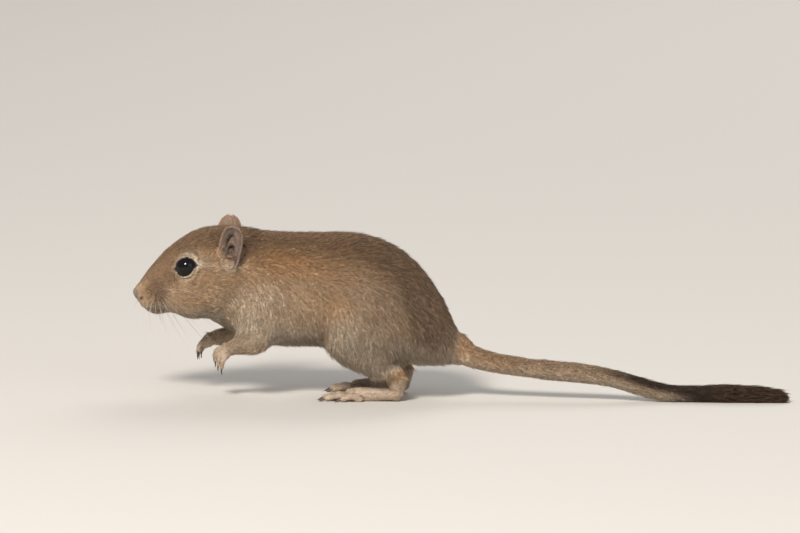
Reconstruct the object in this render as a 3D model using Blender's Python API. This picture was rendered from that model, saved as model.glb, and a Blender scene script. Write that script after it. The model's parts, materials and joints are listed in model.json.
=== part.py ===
"""A life-size gerbil, crouched on its hind feet with its forepaws lifted and its tail trailing on the ground.

The nose points along -X, the animal's left side faces -Y and +Z is up. Sizes below are in millimetres, with X
counted from a point above the hind toes, and each mesh is scaled to metres and centred when it is stored.
The outer surfaces are those of the coat, and each piece stands a thin gap away from its neighbours.
"""

import math

import bmesh
import bpy
import numpy as np
from mathutils import Matrix, Vector

MM = 0.001
GAP = 0.3
LEFT, RIGHT = -1, 1
SIDES = {"left": LEFT, "right": RIGHT}

# Trunk and head: place along X, top line, underside, half width and level of the widest place
BODY_STATIONS = {
    "nose": (-81.3, 38.9, 33.6, 1.9, 36.2),
    "muzzle": (-76.6, 45.6, 30.2, 4.2, 36.0),
    "bridge": (-70.0, 53.2, 29.2, 7.0, 38.5),
    "eye": (-62.0, 59.0, 28.4, 10.7, 40.5),
    "cheek": (-55.0, 61.4, 27.0, 12.2, 40.5),
    "nape": (-47.0, 61.8, 22.6, 12.8, 40.0),
    "neck": (-40.0, 61.2, 18.8, 13.0, 38.5),
    "shoulder": (-30.0, 60.2, 17.2, 14.4, 37.0),
    "ribs": (-16.0, 60.1, 17.4, 17.0, 36.5),
    "back": (-2.0, 59.8, 15.6, 20.8, 35.0),
    "loin": (10.0, 56.4, 13.2, 22.8, 32.0),
    "croup": (20.0, 49.4, 11.4, 21.6, 27.5),
    "rump": (28.5, 38.6, 11.2, 16.2, 23.0),
    "dock": (35.5, 25.6, 12.0, 7.0, 18.5),
}
BODY_SQUARENESS = 2.15  # 2 is an ellipse, and more is squarer
BODY_RING_POINTS = 36
RINGS_PER_STATION = 5

# Tail: place along X, sideways drift, level of its middle and radius
TAIL_STATIONS = {
    "in_rump": (25.0, 0.0, 24.0, 8.5),
    "root": (33.5, 0.0, 19.3, 6.3),
    "neck_of_tail": (40.0, 0.0, 15.3, 4.6),
    "first_third": (50.0, -0.2, 12.7, 4.0),
    "held_off_ground": (64.0, -0.9, 11.0, 3.8),
    "middle": (80.0, -1.6, 9.8, 3.7),
    "bend": (91.0, -1.8, 8.2, 3.4),
    "falling": (101.0, -1.7, 5.4, 3.3),
    "touching": (110.0, -1.4, 3.2, 3.2),
    "lying": (118.0, -0.9, 2.8, 3.1),
    "brush": (132.0, 0.0, 2.8, 3.2),
    "brush_end": (144.0, 0.5, 2.6, 2.7),
    "thinning": (151.0, 0.7, 1.9, 1.8),
    "tip": (154.5, 0.8, 1.3, 0.9),
}
TAIL_RING_POINTS = 16

EYE_RADIUS = 4.1
EYE_CENTRE = (-61.6, 8.3, 47.2)

EAR_HEIGHT = 15.2
EAR_HALF_WIDTH = 4.1
EAR_BOWL_DEPTH = 2.8
EAR_THICKNESS = 0.95
EAR_ROOTS = {"left": (-46.9, 12.2, 48.2), "right": (-49.5, 12.2, 48.2)}
EAR_LEANS = {"left": 14.0, "right": 4.0}  # back, in degrees from upright
EAR_LEAN_OUT = 9.0
EAR_TURN_FORWARD = 14.0

THIGH_CENTRE = (5.0, 12.6, 28.0)
THIGH_RADII = (19.5, 10.4, 17.5)
THIGH_TILT = 24.0  # degrees, its front end lower
KNEE = (-4.6, 15.2, 21.8)
ANKLE_LEVEL = 8.6

SHOULDER_CENTRE = (-35.0, 9.2, 29.0)
SHOULDER_RADII = (10.0, 7.6, 13.2)
SHOULDER_TILT = -14.0

# Rounded blocks that part the upper limbs from the trunk: centre, radii and tilt
UPPER_LIMB_CUTS = {
    "thigh": ((5.0, 15.8, 28.0), (20.8, 14.6, 18.6), THIGH_TILT),
    "upper_arm": ((-35.0, 11.2, 29.0), (11.4, 10.4, 14.4), SHOULDER_TILT),
}

# Forelimbs: elbow, wrist, the paw's droop below level and roll outwards in degrees, and its digits' drift
FORELIMBS = {
    "left": {"elbow": (-37.5, 11.4, 20.8), "wrist": (-46.2, 9.8, 18.0), "droop": 38, "roll": 54, "drift": 1.0},
    "right": {"elbow": (-41.5, 11.2, 20.6), "wrist": (-54.8, 8.8, 18.9), "droop": 38, "roll": 8, "drift": 0.0},
}
FOREARM_RADII = (5.4, 4.2, 2.9)

# Hind digits, inner to outer: base along X, offset from the foot's line, length and angle outwards
HIND_DIGITS = (
    (0.8, -2.7, 4.9, -7.0),
    (-3.4, -1.9, 7.0, -5.0),
    (-3.8, -0.1, 7.8, 0.0),
    (-3.5, 1.7, 7.2, 6.0),
    (0.6, 2.9, 5.4, 9.0),
)
HIND_FOOT_LINE = 10.9  # distance of the foot's middle from the animal's midline
HIND_DIGIT_RADIUS = 1.4
FORE_DIGIT_OFFSETS = (-1.95, -0.68, 0.68, 1.95)
FORE_DIGIT_RADIUS = 1.0

FORE_CLAW = {"length": 3.3, "radius": 0.5, "hook": 26.0}
HIND_CLAW = {"length": 3.7, "radius": 0.55, "hook": 14.0, "slope": -0.3}

# Fineness of the fused shapes: voxel, rounds of smoothing and triangles kept
FLESH_FINENESS = (0.8, 30, 5600)
FOREPAW_FINENESS = (0.28, 3, 420)
HIND_FOOT_FINENESS = (0.34, 3, 560)
EAR_FINENESS = (0.28, 3, 330)
CUTTER_FINENESS = (0.6, 4, 260)

# Most triangles that a finished piece keeps, by the start of its name
PIECE_TRIANGLES = {
    "head": 1070,
    "lower_jaw": 260,
    "nose": 90,
    "neck": 420,
    "chest": 460,
    "belly": 510,
    "rump": 570,
    "thigh": 420,
    "shank": 220,
    "upper_arm": 240,
    "forearm": 150,
    "tail": 180,
    "hind_foot": 480,
    "forepaw": 360,
    "ear": 250,
}

# Outlines in the XZ plane of the blocks that part the flesh, in the order they are taken off
TRUNK_OUTLINES = {
    "tail_4": [(124, -5), (200, -5), (200, 60), (124, 60)],
    "tail_3": [(94, -5), (200, -5), (200, 60), (94, 60)],
    "tail_2": [(64, -5), (200, -5), (200, 60), (64, 60)],
    "tail_1": [(29, -5), (200, -5), (200, 60), (47, 60)],
    "rump": [(13, -5), (200, -5), (200, 90), (8, 90)],
    "belly": [(-15, -5), (200, -5), (200, 90), (-15, 90)],
    "lower_jaw": [(-120, 31.2), (-76.5, 31.4), (-60, 35.6), (-56, 31.0), (-54.5, 10), (-120, 10)],
    "head": [(-34, 90), (-41.5, 46), (-49.5, 34), (-52, 10), (-120, 10), (-120, 90)],
    "neck": [(-20, 90), (-30, 46), (-40, 31), (-44, 10), (-120, 10), (-120, 90)],
}

COAT_SAND = (0.42, 0.27, 0.14, 1.0)
COAT_CREAM = (0.62, 0.48, 0.33, 1.0)
COAT_DARK = (0.06, 0.045, 0.035, 1.0)
BARE_SKIN = (0.42, 0.27, 0.22, 1.0)
EYE_BLACK = (0.008, 0.006, 0.005, 1.0)
CLAW_HORN = (0.035, 0.026, 0.02, 1.0)


def clear_scene():
    for old in list(bpy.data.objects):
        bpy.data.objects.remove(old, do_unlink=True)


def paint(obj, colour, roughness):
    """Gives an object a material of its own."""
    made = bpy.data.materials.new(obj.name)
    made.use_nodes = True
    shader = made.node_tree.nodes["Principled BSDF"]
    shader.inputs["Base Color"].default_value = colour
    shader.inputs["Roughness"].default_value = roughness
    obj.data.materials.clear()
    obj.data.materials.append(made)


def linked(name, mesh):
    made = bpy.data.objects.new(name, mesh)
    bpy.context.scene.collection.objects.link(made)
    return made


def object_from(name, bm):
    """Stores a bmesh as an object, with its faces pointing out."""
    bmesh.ops.recalc_face_normals(bm, faces=bm.faces)
    mesh = bpy.data.meshes.new(name)
    bm.to_mesh(mesh)
    bm.free()
    return linked(name, mesh)


def copy_of(obj, name):
    return linked(name, obj.data.copy())


def discard(obj):
    bpy.data.objects.remove(obj, do_unlink=True)


def mirrored(point, side):
    return Vector((point[0], point[1] * side, point[2]))


def ramp(value, low, high):
    """Rises from 0 at low to 1 at high, and is level beyond them."""
    return min(1.0, max(0.0, (value - low) / (high - low)))


def smooth_rows(rows, per_gap):
    """Rows of numbers read from a smooth curve that passes through each of the given rows."""
    rows = np.array(list(rows), float)
    padded = np.vstack([2 * rows[0] - rows[1], rows, 2 * rows[-1] - rows[-2]])
    made = []
    for a, b, c, d in zip(padded, padded[1:], padded[2:], padded[3:]):
        for step in range(per_gap):
            t = step / per_gap
            bend = 2 * a - 5 * b + 4 * c - d
            twist = 3 * (b - c) + d - a
            made.append(b + 0.5 * (t * (c - a) + t**2 * bend + t**3 * twist))
    made.append(rows[-1])
    return np.array(made)


def loft(name, rings):
    """A closed skin over rings of equal point counts, with flat ends."""
    bm = bmesh.new()
    rows = [[bm.verts.new(point) for point in ring] for ring in rings]
    count = len(rows[0])
    for near, far in zip(rows, rows[1:]):
        for i in range(count):
            j = (i + 1) % count
            bm.faces.new((near[i], near[j], far[j], far[i]))
    bm.faces.new(rows[0])
    bm.faces.new(rows[-1])
    return object_from(name, bm)


def power(value, exponent):
    return math.copysign(abs(value) ** exponent, value)


def body_ring(x, top, under, half_width, level):
    ring = []
    for i in range(BODY_RING_POINTS):
        angle = 2 * math.pi * i / BODY_RING_POINTS
        across = power(math.cos(angle), 2 / BODY_SQUARENESS)
        upward = power(math.sin(angle), 2 / BODY_SQUARENESS)
        reach = top - level if upward > 0 else level - under
        ring.append((x, half_width * across, level + reach * upward))
    return ring


def body_core():
    rows = smooth_rows(BODY_STATIONS.values(), RINGS_PER_STATION)
    return loft("core", [body_ring(*row) for row in rows])


def ellipsoid(name, centre, radii, pitch=0.0, segments=24):
    """A rounded mass, turned by pitch degrees about the Y axis."""
    bm = bmesh.new()
    bmesh.ops.create_uvsphere(bm, u_segments=segments, v_segments=segments // 2, radius=1.0)
    shape = Matrix.Diagonal((*radii, 1.0))
    turn = Matrix.Rotation(math.radians(pitch), 4, "Y")
    bm.transform(Matrix.Translation(centre) @ turn @ shape)
    return object_from(name, bm)


def tube(name, rows, per_gap=4, points=16, flatness=1.0):
    """A rounded rod through rows of x, y, z and radius. Flatness is its height over its width."""
    rows = smooth_rows(rows, per_gap)
    centres = [Vector(row[:3]) for row in rows]
    rings = []
    for i, (centre, row) in enumerate(zip(centres, rows)):
        along = centres[min(i + 1, len(rows) - 1)] - centres[max(i - 1, 0)]
        side = along.cross(Vector((0, 0, 1)))
        side = side.normalized() if side.length > 1e-6 else Vector((0, 1, 0))
        up = side.cross(along).normalized()
        ring = []
        for k in range(points):
            angle = 2 * math.pi * k / points
            reach = side * math.cos(angle) + up * (flatness * math.sin(angle))
            ring.append(centre + reach * row[3])
        rings.append(ring)
    return loft(name, rings)


def limb(name, rows, flatness=1.0, grow=0.0):
    """A tube with rounded ends, as its separate shapes."""
    rows = [(*row[:3], row[3] + grow) for row in rows]
    ends = [ellipsoid(name, rows[i][:3], (rows[i][3],) * 3, segments=14) for i in (0, -1)]
    return [tube(name, rows, flatness=flatness), *ends]


def joined(name, objects):
    """One object that holds the given shapes, still overlapping."""
    bm = bmesh.new()
    for shape in objects:
        bm.from_mesh(shape.data)
        discard(shape)
    mesh = bpy.data.meshes.new(name)
    bm.to_mesh(mesh)
    bm.free()
    return linked(name, mesh)


def settle(obj):
    """Turns the object's modifiers into its mesh."""
    bpy.context.view_layer.update()
    graph = bpy.context.evaluated_depsgraph_get()
    mesh = bpy.data.meshes.new_from_object(obj.evaluated_get(graph))
    obj.modifiers.clear()
    obj.data = mesh
    return obj


def grown_together(obj, voxel):
    """The object's overlapping shapes as one closed skin."""
    grow = obj.modifiers.new("grow", "REMESH")
    grow.mode = "VOXEL"
    grow.voxel_size = voxel
    return settle(obj)


def fused(name, objects, fineness, softness=None):
    """Overlapping shapes grown into one smooth skin of a given number of triangles."""
    voxel, rounds, triangles = fineness
    made = grown_together(joined(name, objects), voxel)
    soften = made.modifiers.new("soften", "SMOOTH")
    soften.factor = 0.5
    soften.iterations = rounds
    if softness:
        group = made.vertex_groups.new(name="soft")
        for vertex in made.data.vertices:
            group.add([vertex.index], softness(vertex.co), "REPLACE")
        soften.vertex_group = "soft"
    settle(made)
    made.vertex_groups.clear()
    thin = made.modifiers.new("thin", "DECIMATE")
    faces = sum(len(face.vertices) - 2 for face in made.data.polygons)
    thin.ratio = triangles / faces
    return settle(made)


def largest_body(obj):
    """Drops the crumbs that a cut leaves, and keeps the largest closed body."""
    bm = bmesh.new()
    bm.from_mesh(obj.data)
    seen, bodies = set(), []
    for start in bm.verts:
        if start in seen:
            continue
        seen.add(start)
        body, edge_of_search = [start], [start]
        while edge_of_search:
            for edge in edge_of_search.pop().link_edges:
                for vertex in edge.verts:
                    if vertex not in seen:
                        seen.add(vertex)
                        body.append(vertex)
                        edge_of_search.append(vertex)
        bodies.append(body)
    bodies.sort(key=len)
    crumbs = [vertex for body in bodies[:-1] for vertex in body]
    bmesh.ops.delete(bm, geom=crumbs, context="VERTS")
    bmesh.ops.dissolve_degenerate(bm, dist=0.002, edges=bm.edges)
    bmesh.ops.triangulate(bm, faces=bm.faces)
    bm.to_mesh(obj.data)
    bm.free()
    return obj


def cut(obj, cutter, operation="DIFFERENCE"):
    change = obj.modifiers.new("cut", "BOOLEAN")
    change.operation = operation
    change.solver = "EXACT"
    change.object = cutter
    settle(obj)
    discard(cutter)
    return obj


def take(body, name, cutter, clearing):
    """Takes off the part of a body inside a cutter, and clears the rest to a slightly larger shape."""
    piece = cut(copy_of(body, name), cutter, "INTERSECT")
    cut(body, clearing)
    return largest_body(piece)


def shell(obj, by=GAP):
    """A copy of an object with its surface moved outward."""
    made = copy_of(obj, "shell")
    push = made.modifiers.new("push", "DISPLACE")
    push.strength = by
    push.mid_level = 0.0
    return settle(made)


def block(name, low, high):
    bm = bmesh.new()
    bmesh.ops.create_cube(bm, size=1.0)
    low, high = Vector(low), Vector(high)
    bm.transform(Matrix.Translation((low + high) / 2) @ Matrix.Diagonal((*(high - low), 1.0)))
    return object_from(name, bm)


def grown_outline(outline, by):
    """An outline moved outward by a distance, with its corners kept sharp."""
    points = [Vector(point) for point in outline]
    following = points[1:] + points[:1]
    turn = math.copysign(1.0, sum(a.x * b.y - a.y * b.x for a, b in zip(points, following)))
    moved = []
    for before, here, after in zip(points[-1:] + points[:-1], points, following):
        arriving, leaving = (here - before).normalized(), (after - here).normalized()
        first = Vector((arriving.y, -arriving.x)) * turn
        second = Vector((leaving.y, -leaving.x)) * turn
        moved.append(here + (first + second) * by / (1 + first.dot(second)))
    return moved


def prism(outline, grow):
    """A block across the whole animal with an outline in the XZ plane."""
    bm = bmesh.new()
    outline = grown_outline(outline, grow)
    faces = [bm.faces.new([bm.verts.new((p.x, y, p.y)) for p in outline]) for y in (-60, 60)]
    bmesh.ops.bridge_loops(bm, edges=[edge for face in faces for edge in face.edges])
    return object_from("prism", bm)


def head_masses():
    """The parts of the head that stand out of its main form."""
    masses = [
        ellipsoid("nose_pad", (-80.7, 0.0, 36.7), (1.9, 2.5, 2.5), segments=16),
        ellipsoid("chin", (-73.2, 0.0, 31.1), (4.6, 3.6, 2.7)),
    ]
    for side in SIDES.values():
        masses += [
            ellipsoid("whisker_pad", mirrored((-75.6, 3.0, 34.4), side), (4.5, 2.9, 4.1)),
            ellipsoid("cheek", mirrored((-59.0, 6.8, 36.4), side), (11.0, 6.4, 8.8)),
            ellipsoid("brow", mirrored((-61.0, 6.4, 50.4), side), (7.4, 3.8, 5.0)),
            ellipsoid("ear_mound", mirrored((-48.0, 8.6, 50.0), side), (5.4, 3.8, 5.6)),
        ]
    return masses


def shank_rows(side):
    rows = [
        (-2.0, 14.8, 22.6, 8.8),
        (3.4, 14.4, 17.2, 7.6),
        (9.4, 13.0, 12.5, 5.8),
        (14.4, 11.6, ANKLE_LEVEL, 4.2),
        (15.0, 11.0, 5.4, 3.5),
    ]
    return [(*mirrored(row, side), row[3]) for row in rows]


def forearm_rows(name, side):
    pose = FORELIMBS[name]
    elbow, wrist = mirrored(pose["elbow"], side), mirrored(pose["wrist"], side)
    beyond = wrist + (wrist - elbow).normalized() * 2.0
    start, half, end = FOREARM_RADII
    return [(*elbow, start), (*elbow.lerp(wrist, 0.5), half), (*wrist, end), (*beyond, end * 0.95)]


def softness(point):
    """How freely the flesh is smoothed at a point: fully on the trunk, and less on the thin parts."""
    tail = ramp(point.x, 36.0, 26.0)
    snout = 0.2 + 0.8 * ramp(point.x, -79.0, -68.0)
    shank = 0.25 + 0.75 * ramp(point.z, 9.0, 17.0)
    forearm = 1.0 if point.z > 25.0 or point.x > -38.0 else ramp(point.x, -56.0, -38.0)
    return 0.15 + 0.85 * min(tail, snout, shank, forearm)


def flesh():
    """Head, trunk, limbs and tail as one skin, without the ears, paws and hind feet."""
    masses = [body_core(), tube("tail", TAIL_STATIONS.values(), points=TAIL_RING_POINTS)]
    masses += head_masses()
    for name, side in SIDES.items():
        masses.append(ellipsoid("thigh", mirrored(THIGH_CENTRE, side), THIGH_RADII, -THIGH_TILT))
        masses.append(ellipsoid("knee", mirrored(KNEE, side), (7.6, 5.9, 6.6)))
        masses.append(ellipsoid("shoulder", mirrored(SHOULDER_CENTRE, side), SHOULDER_RADII, -SHOULDER_TILT))
        masses += limb("shank", shank_rows(side)) + limb("forearm", forearm_rows(name, side))
    made = fused("flesh", masses, FLESH_FINENESS, softness)
    return cut(made, block("floor", (60, -20, -9), (170, 20, 0)))


def forepaw_frame(name, side):
    """A forepaw's own frame: origin at the wrist, +X to the digits and +Z out of the back of the paw."""
    pose = FORELIMBS[name]
    turn = Matrix.Rotation(math.pi, 4, "Z") @ Matrix.Rotation(math.radians(pose["droop"]), 4, "Y")
    outward = Matrix.Rotation(math.radians(pose["roll"] * side), 4, "X")
    return Matrix.Translation(mirrored(pose["wrist"], side)) @ turn @ outward


def forepaw_digits(name):
    """Base, knuckle and tip of each of a forepaw's digits, in the paw's own frame."""
    drift = FORELIMBS[name]["drift"]
    for offset in FORE_DIGIT_OFFSETS:
        longer = 0.5 if abs(offset) < 1 else 0.0
        yield (
            Vector((2.8, offset, 0.2)),
            Vector((4.6 + longer, offset * 1.2 + 0.45 * drift, 0.2)),
            Vector((5.9 + longer, offset * 1.3 + drift, -0.9)),
        )


def forepaw(name, side):
    r = FORE_DIGIT_RADIUS
    masses = limb("carpus", [(-2.6, 0, 0, 2.9), (0.0, 0, 0, 2.8), (1.6, 0, 0.1, 2.5)])
    masses.append(ellipsoid("palm", (2.6, 0.0, 0.0), (2.8, 3.1, 2.0), segments=16))
    masses.append(ellipsoid("thumb", (1.6, -2.3, -0.9), (1.2, 0.8, 0.8), segments=12))
    for pad in LEFT, RIGHT:
        masses.append(ellipsoid("pad", (1.9, 1.1 * pad, -1.4), (1.3, 1.1, 0.9), segments=12))
    for base, knuckle, tip in forepaw_digits(name):
        masses += limb("digit", [(*base, r * 1.1), (*knuckle, r), (*tip, r * 0.9)])
    made = fused(f"forepaw_{name}", masses, FOREPAW_FINENESS)
    cut(made, block("beyond_wrist", (-9, -9, -9), (GAP / 2, 9, 9)))
    made.data.transform(forepaw_frame(name, side))
    return largest_body(made)


def hind_digit(side, base_x, offset, length, splay):
    """Base, knuckle and tip of a hind digit."""
    angle = math.radians(splay)
    way = Vector((-math.cos(angle), math.sin(angle), 0))
    base = Vector((base_x, HIND_FOOT_LINE + offset, 1.7))
    knuckle = base + way * length * 0.5 + Vector((0, 0, 0.35))
    tip = base + way * length + Vector((0, 0, -0.6))
    return [mirrored(point, side) for point in (base, knuckle, tip)]


def hind_foot(name, side):
    line, r = HIND_FOOT_LINE, HIND_DIGIT_RADIUS
    ankle_rows = [(14.4, line + 0.7, 11.0, 4.4), (14.6, line + 0.4, ANKLE_LEVEL, 4.2), (14.3, line, 5.4, 3.5)]
    sole_rows = [(13.9, line, 3.0, 2.9), (8.0, line, 2.6, 2.8), (1.5, line, 2.3, 3.3), (-3.2, line, 2.0, 3.2)]
    masses = limb("ankle", [(*mirrored(row, side), row[3]) for row in ankle_rows])
    masses.append(tube("sole", [(*mirrored(row, side), row[3]) for row in sole_rows], flatness=0.92))
    masses.append(ellipsoid("heel", mirrored((14.3, line, 3.6), side), (3.4, 2.9, 3.8)))
    for digit in HIND_DIGITS:
        base, knuckle, tip = hind_digit(side, *digit)
        masses += limb("toe", [(*base, r * 1.12), (*knuckle, r), (*tip, r * 0.88)])
        masses.append(ellipsoid("ball_pad", (base.x + 0.4, base.y, 0.9), (1.7, 1.15, 1.3), segments=12))
    made = fused(f"hind_foot_{name}", masses, HIND_FOOT_FINENESS)
    cut(made, block("floor", (-30, -30, -9), (30, 30, 0)))
    cut(made, block("above_ankle", (-30, -30, ANKLE_LEVEL - GAP / 2), (30, 30, 30)))
    return largest_body(made)


def ear_frame(name, side):
    """An ear's own frame: +Z up the ear, +X to its rear edge and -Y out of its bowl, on the left ear."""
    lean = Matrix.Rotation(math.radians(EAR_LEANS[name]), 4, "Y")
    out = Matrix.Rotation(math.radians(EAR_LEAN_OUT), 4, "X")
    turn = Matrix.Rotation(math.radians(-EAR_TURN_FORWARD), 4, "Z")
    place = Matrix.Translation(mirrored(EAR_ROOTS[name], LEFT)) @ lean @ out @ turn
    return Matrix.Scale(-1, 4, (0, 1, 0)) @ place if side == RIGHT else place


def ear_outline(height):
    """Half width of the ear at a share of its height."""
    widest = 0.62
    if height > widest:
        return math.sqrt(max(0.0, 1 - ((height - widest) / (1 - widest)) ** 2.3))
    return 0.74 + 0.26 * math.sin(0.5 * math.pi * height / widest)


def ear_point(height, across):
    """A point of the ear's thin bowl. Across runs from -1 at the front edge to 1 at the rear edge."""
    half = EAR_HALF_WIDTH * ear_outline(height)
    hollow = EAR_BOWL_DEPTH * (1 - across**2) * math.cos(height * 1.25)
    front_fold = 0.8 * (1 - height) * max(0.0, -across) ** 2
    set_back = 0.9 * (1 - height) ** 2
    return (half * across + set_back - front_fold, hollow - 0.4 * front_fold, EAR_HEIGHT * height)


def ear(name, side, head):
    rows, columns = 14, 12
    bm = bmesh.new()
    grid = []
    for i in range(rows + 1):
        height = 0.985 * i / rows
        grid.append([bm.verts.new(ear_point(height, 2 * j / columns - 1)) for j in range(columns + 1)])
    for low, high in zip(grid, grid[1:]):
        for j in range(columns):
            bm.faces.new((low[j], low[j + 1], high[j + 1], high[j]))
    bowl = object_from("bowl", bm)
    wall = bowl.modifiers.new("wall", "SOLIDIFY")
    wall.thickness = EAR_THICKNESS
    wall.offset = 0.0
    settle(bowl)
    root = ellipsoid("root", (-0.2, 1.5, 0.2), (4.6, 2.6, 3.0), segments=16)
    made = fused(f"ear_{name}", [bowl, root], EAR_FINENESS)
    made.data.transform(ear_frame(name, side))
    if side == RIGHT:
        made.data.flip_normals()
    return largest_body(cut(made, shell(head)))


def claw(name, tip, way, down, shape, paw):
    """A curved horny claw that starts in a digit's tip, cut back to stand just clear of the paw."""
    way, down = way.normalized(), down.normalized()
    rings, sides, rows = 5, 6, []
    side = way.cross(down).normalized()
    centre, heading = tip.copy(), way
    step = shape["length"] / (rings - 1)
    bend = math.radians(shape["hook"]) / (rings - 1)
    for i in range(rings):
        radius = shape["radius"] * (1 - 0.6 * i / (rings - 1))
        up = side.cross(heading).normalized()
        ring = []
        for k in range(sides):
            angle = 2 * math.pi * k / sides
            ring.append(centre + radius * (side * 0.85 * math.cos(angle) + up * 1.1 * math.sin(angle)))
        rows.append(ring)
        heading = (heading * math.cos(bend) + down * math.sin(bend)).normalized()
        centre = centre + heading * step
    return largest_body(cut(loft(name, rows), shell(paw)))


def forepaw_claws(name, side, paw):
    frame = forepaw_frame(name, side)
    turn = frame.to_3x3()
    down = turn @ Vector((-0.3, 0, -1))
    for number, (_, knuckle, tip) in enumerate(forepaw_digits(name), 1):
        way = turn @ (tip - knuckle)
        claw(f"claw_fore_{name}_{number}", frame @ tip, way, down, FORE_CLAW, paw)


def hind_claws(name, side, paw):
    for number, digit in enumerate(HIND_DIGITS, 1):
        _, knuckle, tip = hind_digit(side, *digit)
        way = tip - knuckle
        way.z = HIND_CLAW["slope"] * way.length
        start = tip + Vector((0, 0, 0.2))
        made = claw(f"claw_hind_{name}_{number}", start, way, Vector((0, 0, -1)), HIND_CLAW, paw)
        largest_body(cut(made, block("floor", (-30, -30, -9), (30, 30, 0))))


def part_limbs(body, name, side):
    """Takes a side's thigh, shank, upper arm and forearm off the flesh."""
    pose = FORELIMBS[name]
    beyond = block("beyond_wrist", (-GAP / 2, -8, -8), (16, 8, 8))
    beyond.data.transform(forepaw_frame(name, side))
    cut(body, beyond)
    y = sorted((side * 2.0, side * 30.0))
    cut(body, block("below_ankle", (5, y[0], -9), (30, y[1], ANKLE_LEVEL + GAP / 2)))

    for upper, (centre, radii, tilt) in UPPER_LIMB_CUTS.items():
        centre = mirrored(centre, side)
        rounded = [ellipsoid("cutter", centre, [radius + by for radius in radii], -tilt) for by in (0, GAP)]
        rows = shank_rows(side) if upper == "thigh" else forearm_rows(name, side)
        slim = fused("cutter", limb("cutter", rows, grow=1.2), CUTTER_FINENESS)
        slender = [slim, shell(slim)]
        if upper == "thigh":
            take(body, f"thigh_{name}", *rounded)
            take(body, f"shank_{name}", *slender)
        else:
            take(body, f"forearm_{name}", *slender)
            take(body, f"upper_arm_{name}", *rounded)


def part_trunk(body):
    """Parts the trunk, head and tail, and names what is left the chest."""
    nose_pad = [ellipsoid("cutter", (-81.8, 0, 37.0), (3.0 + by, 3.1 + by, 3.0 + by)) for by in (0, GAP)]
    take(body, "nose", *nose_pad)
    for name, outline in TRUNK_OUTLINES.items():
        take(body, name, prism(outline, 0), prism(outline, GAP))
    body.name = "chest"
    largest_body(body)


def lighten(obj):
    """Thins an object's mesh to the triangles its name allows."""
    for start, most in PIECE_TRIANGLES.items():
        count = len(obj.data.polygons)
        if obj.name.startswith(start) and count > most:
            thin = obj.modifiers.new("thin", "DECIMATE")
            thin.ratio = most / count
            settle(obj)


def level_soles(obj):
    """Puts the points that lie within a hair of the floor exactly on it."""
    for vertex in obj.data.vertices:
        if abs(vertex.co.z) < 0.06:
            vertex.co.z = 0.0


def store():
    """Centres the animal over its origin, scales it to metres and paints its pieces."""
    meshes = [obj for obj in bpy.data.objects if obj.type == "MESH"]
    corners = [vertex.co.x for obj in meshes for vertex in obj.data.vertices]
    centre = Matrix.Translation((-(min(corners) + max(corners)) / 2, 0, 0))
    for obj in meshes:
        lighten(obj)
        level_soles(obj)
        obj.data.transform(Matrix.Scale(MM, 4) @ centre)
        if obj.name.startswith("eye"):
            paint(obj, EYE_BLACK, 0.1)
        elif obj.name.startswith("claw"):
            paint(obj, CLAW_HORN, 0.45)
        elif obj.name.startswith(("nose", "ear")):
            paint(obj, BARE_SKIN, 0.6)
        elif obj.name == "tail_4":
            paint(obj, COAT_DARK, 0.9)
        elif "paw" in obj.name or "foot" in obj.name or obj.name == "lower_jaw":
            paint(obj, COAT_CREAM, 0.9)
        else:
            paint(obj, COAT_SAND, 0.9)


def main():
    clear_scene()
    body = flesh()
    for name, side in SIDES.items():
        forepaw_claws(name, side, forepaw(name, side))
        hind_claws(name, side, hind_foot(name, side))
        ear(name, side, body)
    for name, side in SIDES.items():
        ellipsoid(f"eye_{name}", mirrored(EYE_CENTRE, side), (EYE_RADIUS,) * 3, segments=18)
        socket = ellipsoid("socket", mirrored(EYE_CENTRE, side), (EYE_RADIUS + GAP,) * 3, segments=18)
        cut(body, socket)
        part_limbs(body, name, side)
    part_trunk(body)
    store()


main()
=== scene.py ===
"""The finish of a life-size jird: its skin and coat, its eyes, claws and whiskers, and a plain pale studio.

Places and sizes are in millimetres unless a name says otherwise, in the frame's own directions: the nose
points along -X, the animal's left side faces -Y and +Z is up. A mesh is scaled to metres when it is stored.
"""

import json
import math

import bmesh
import bpy
import numpy as np
from mathutils import Matrix, Vector
from mathutils.bvhtree import BVHTree

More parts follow.
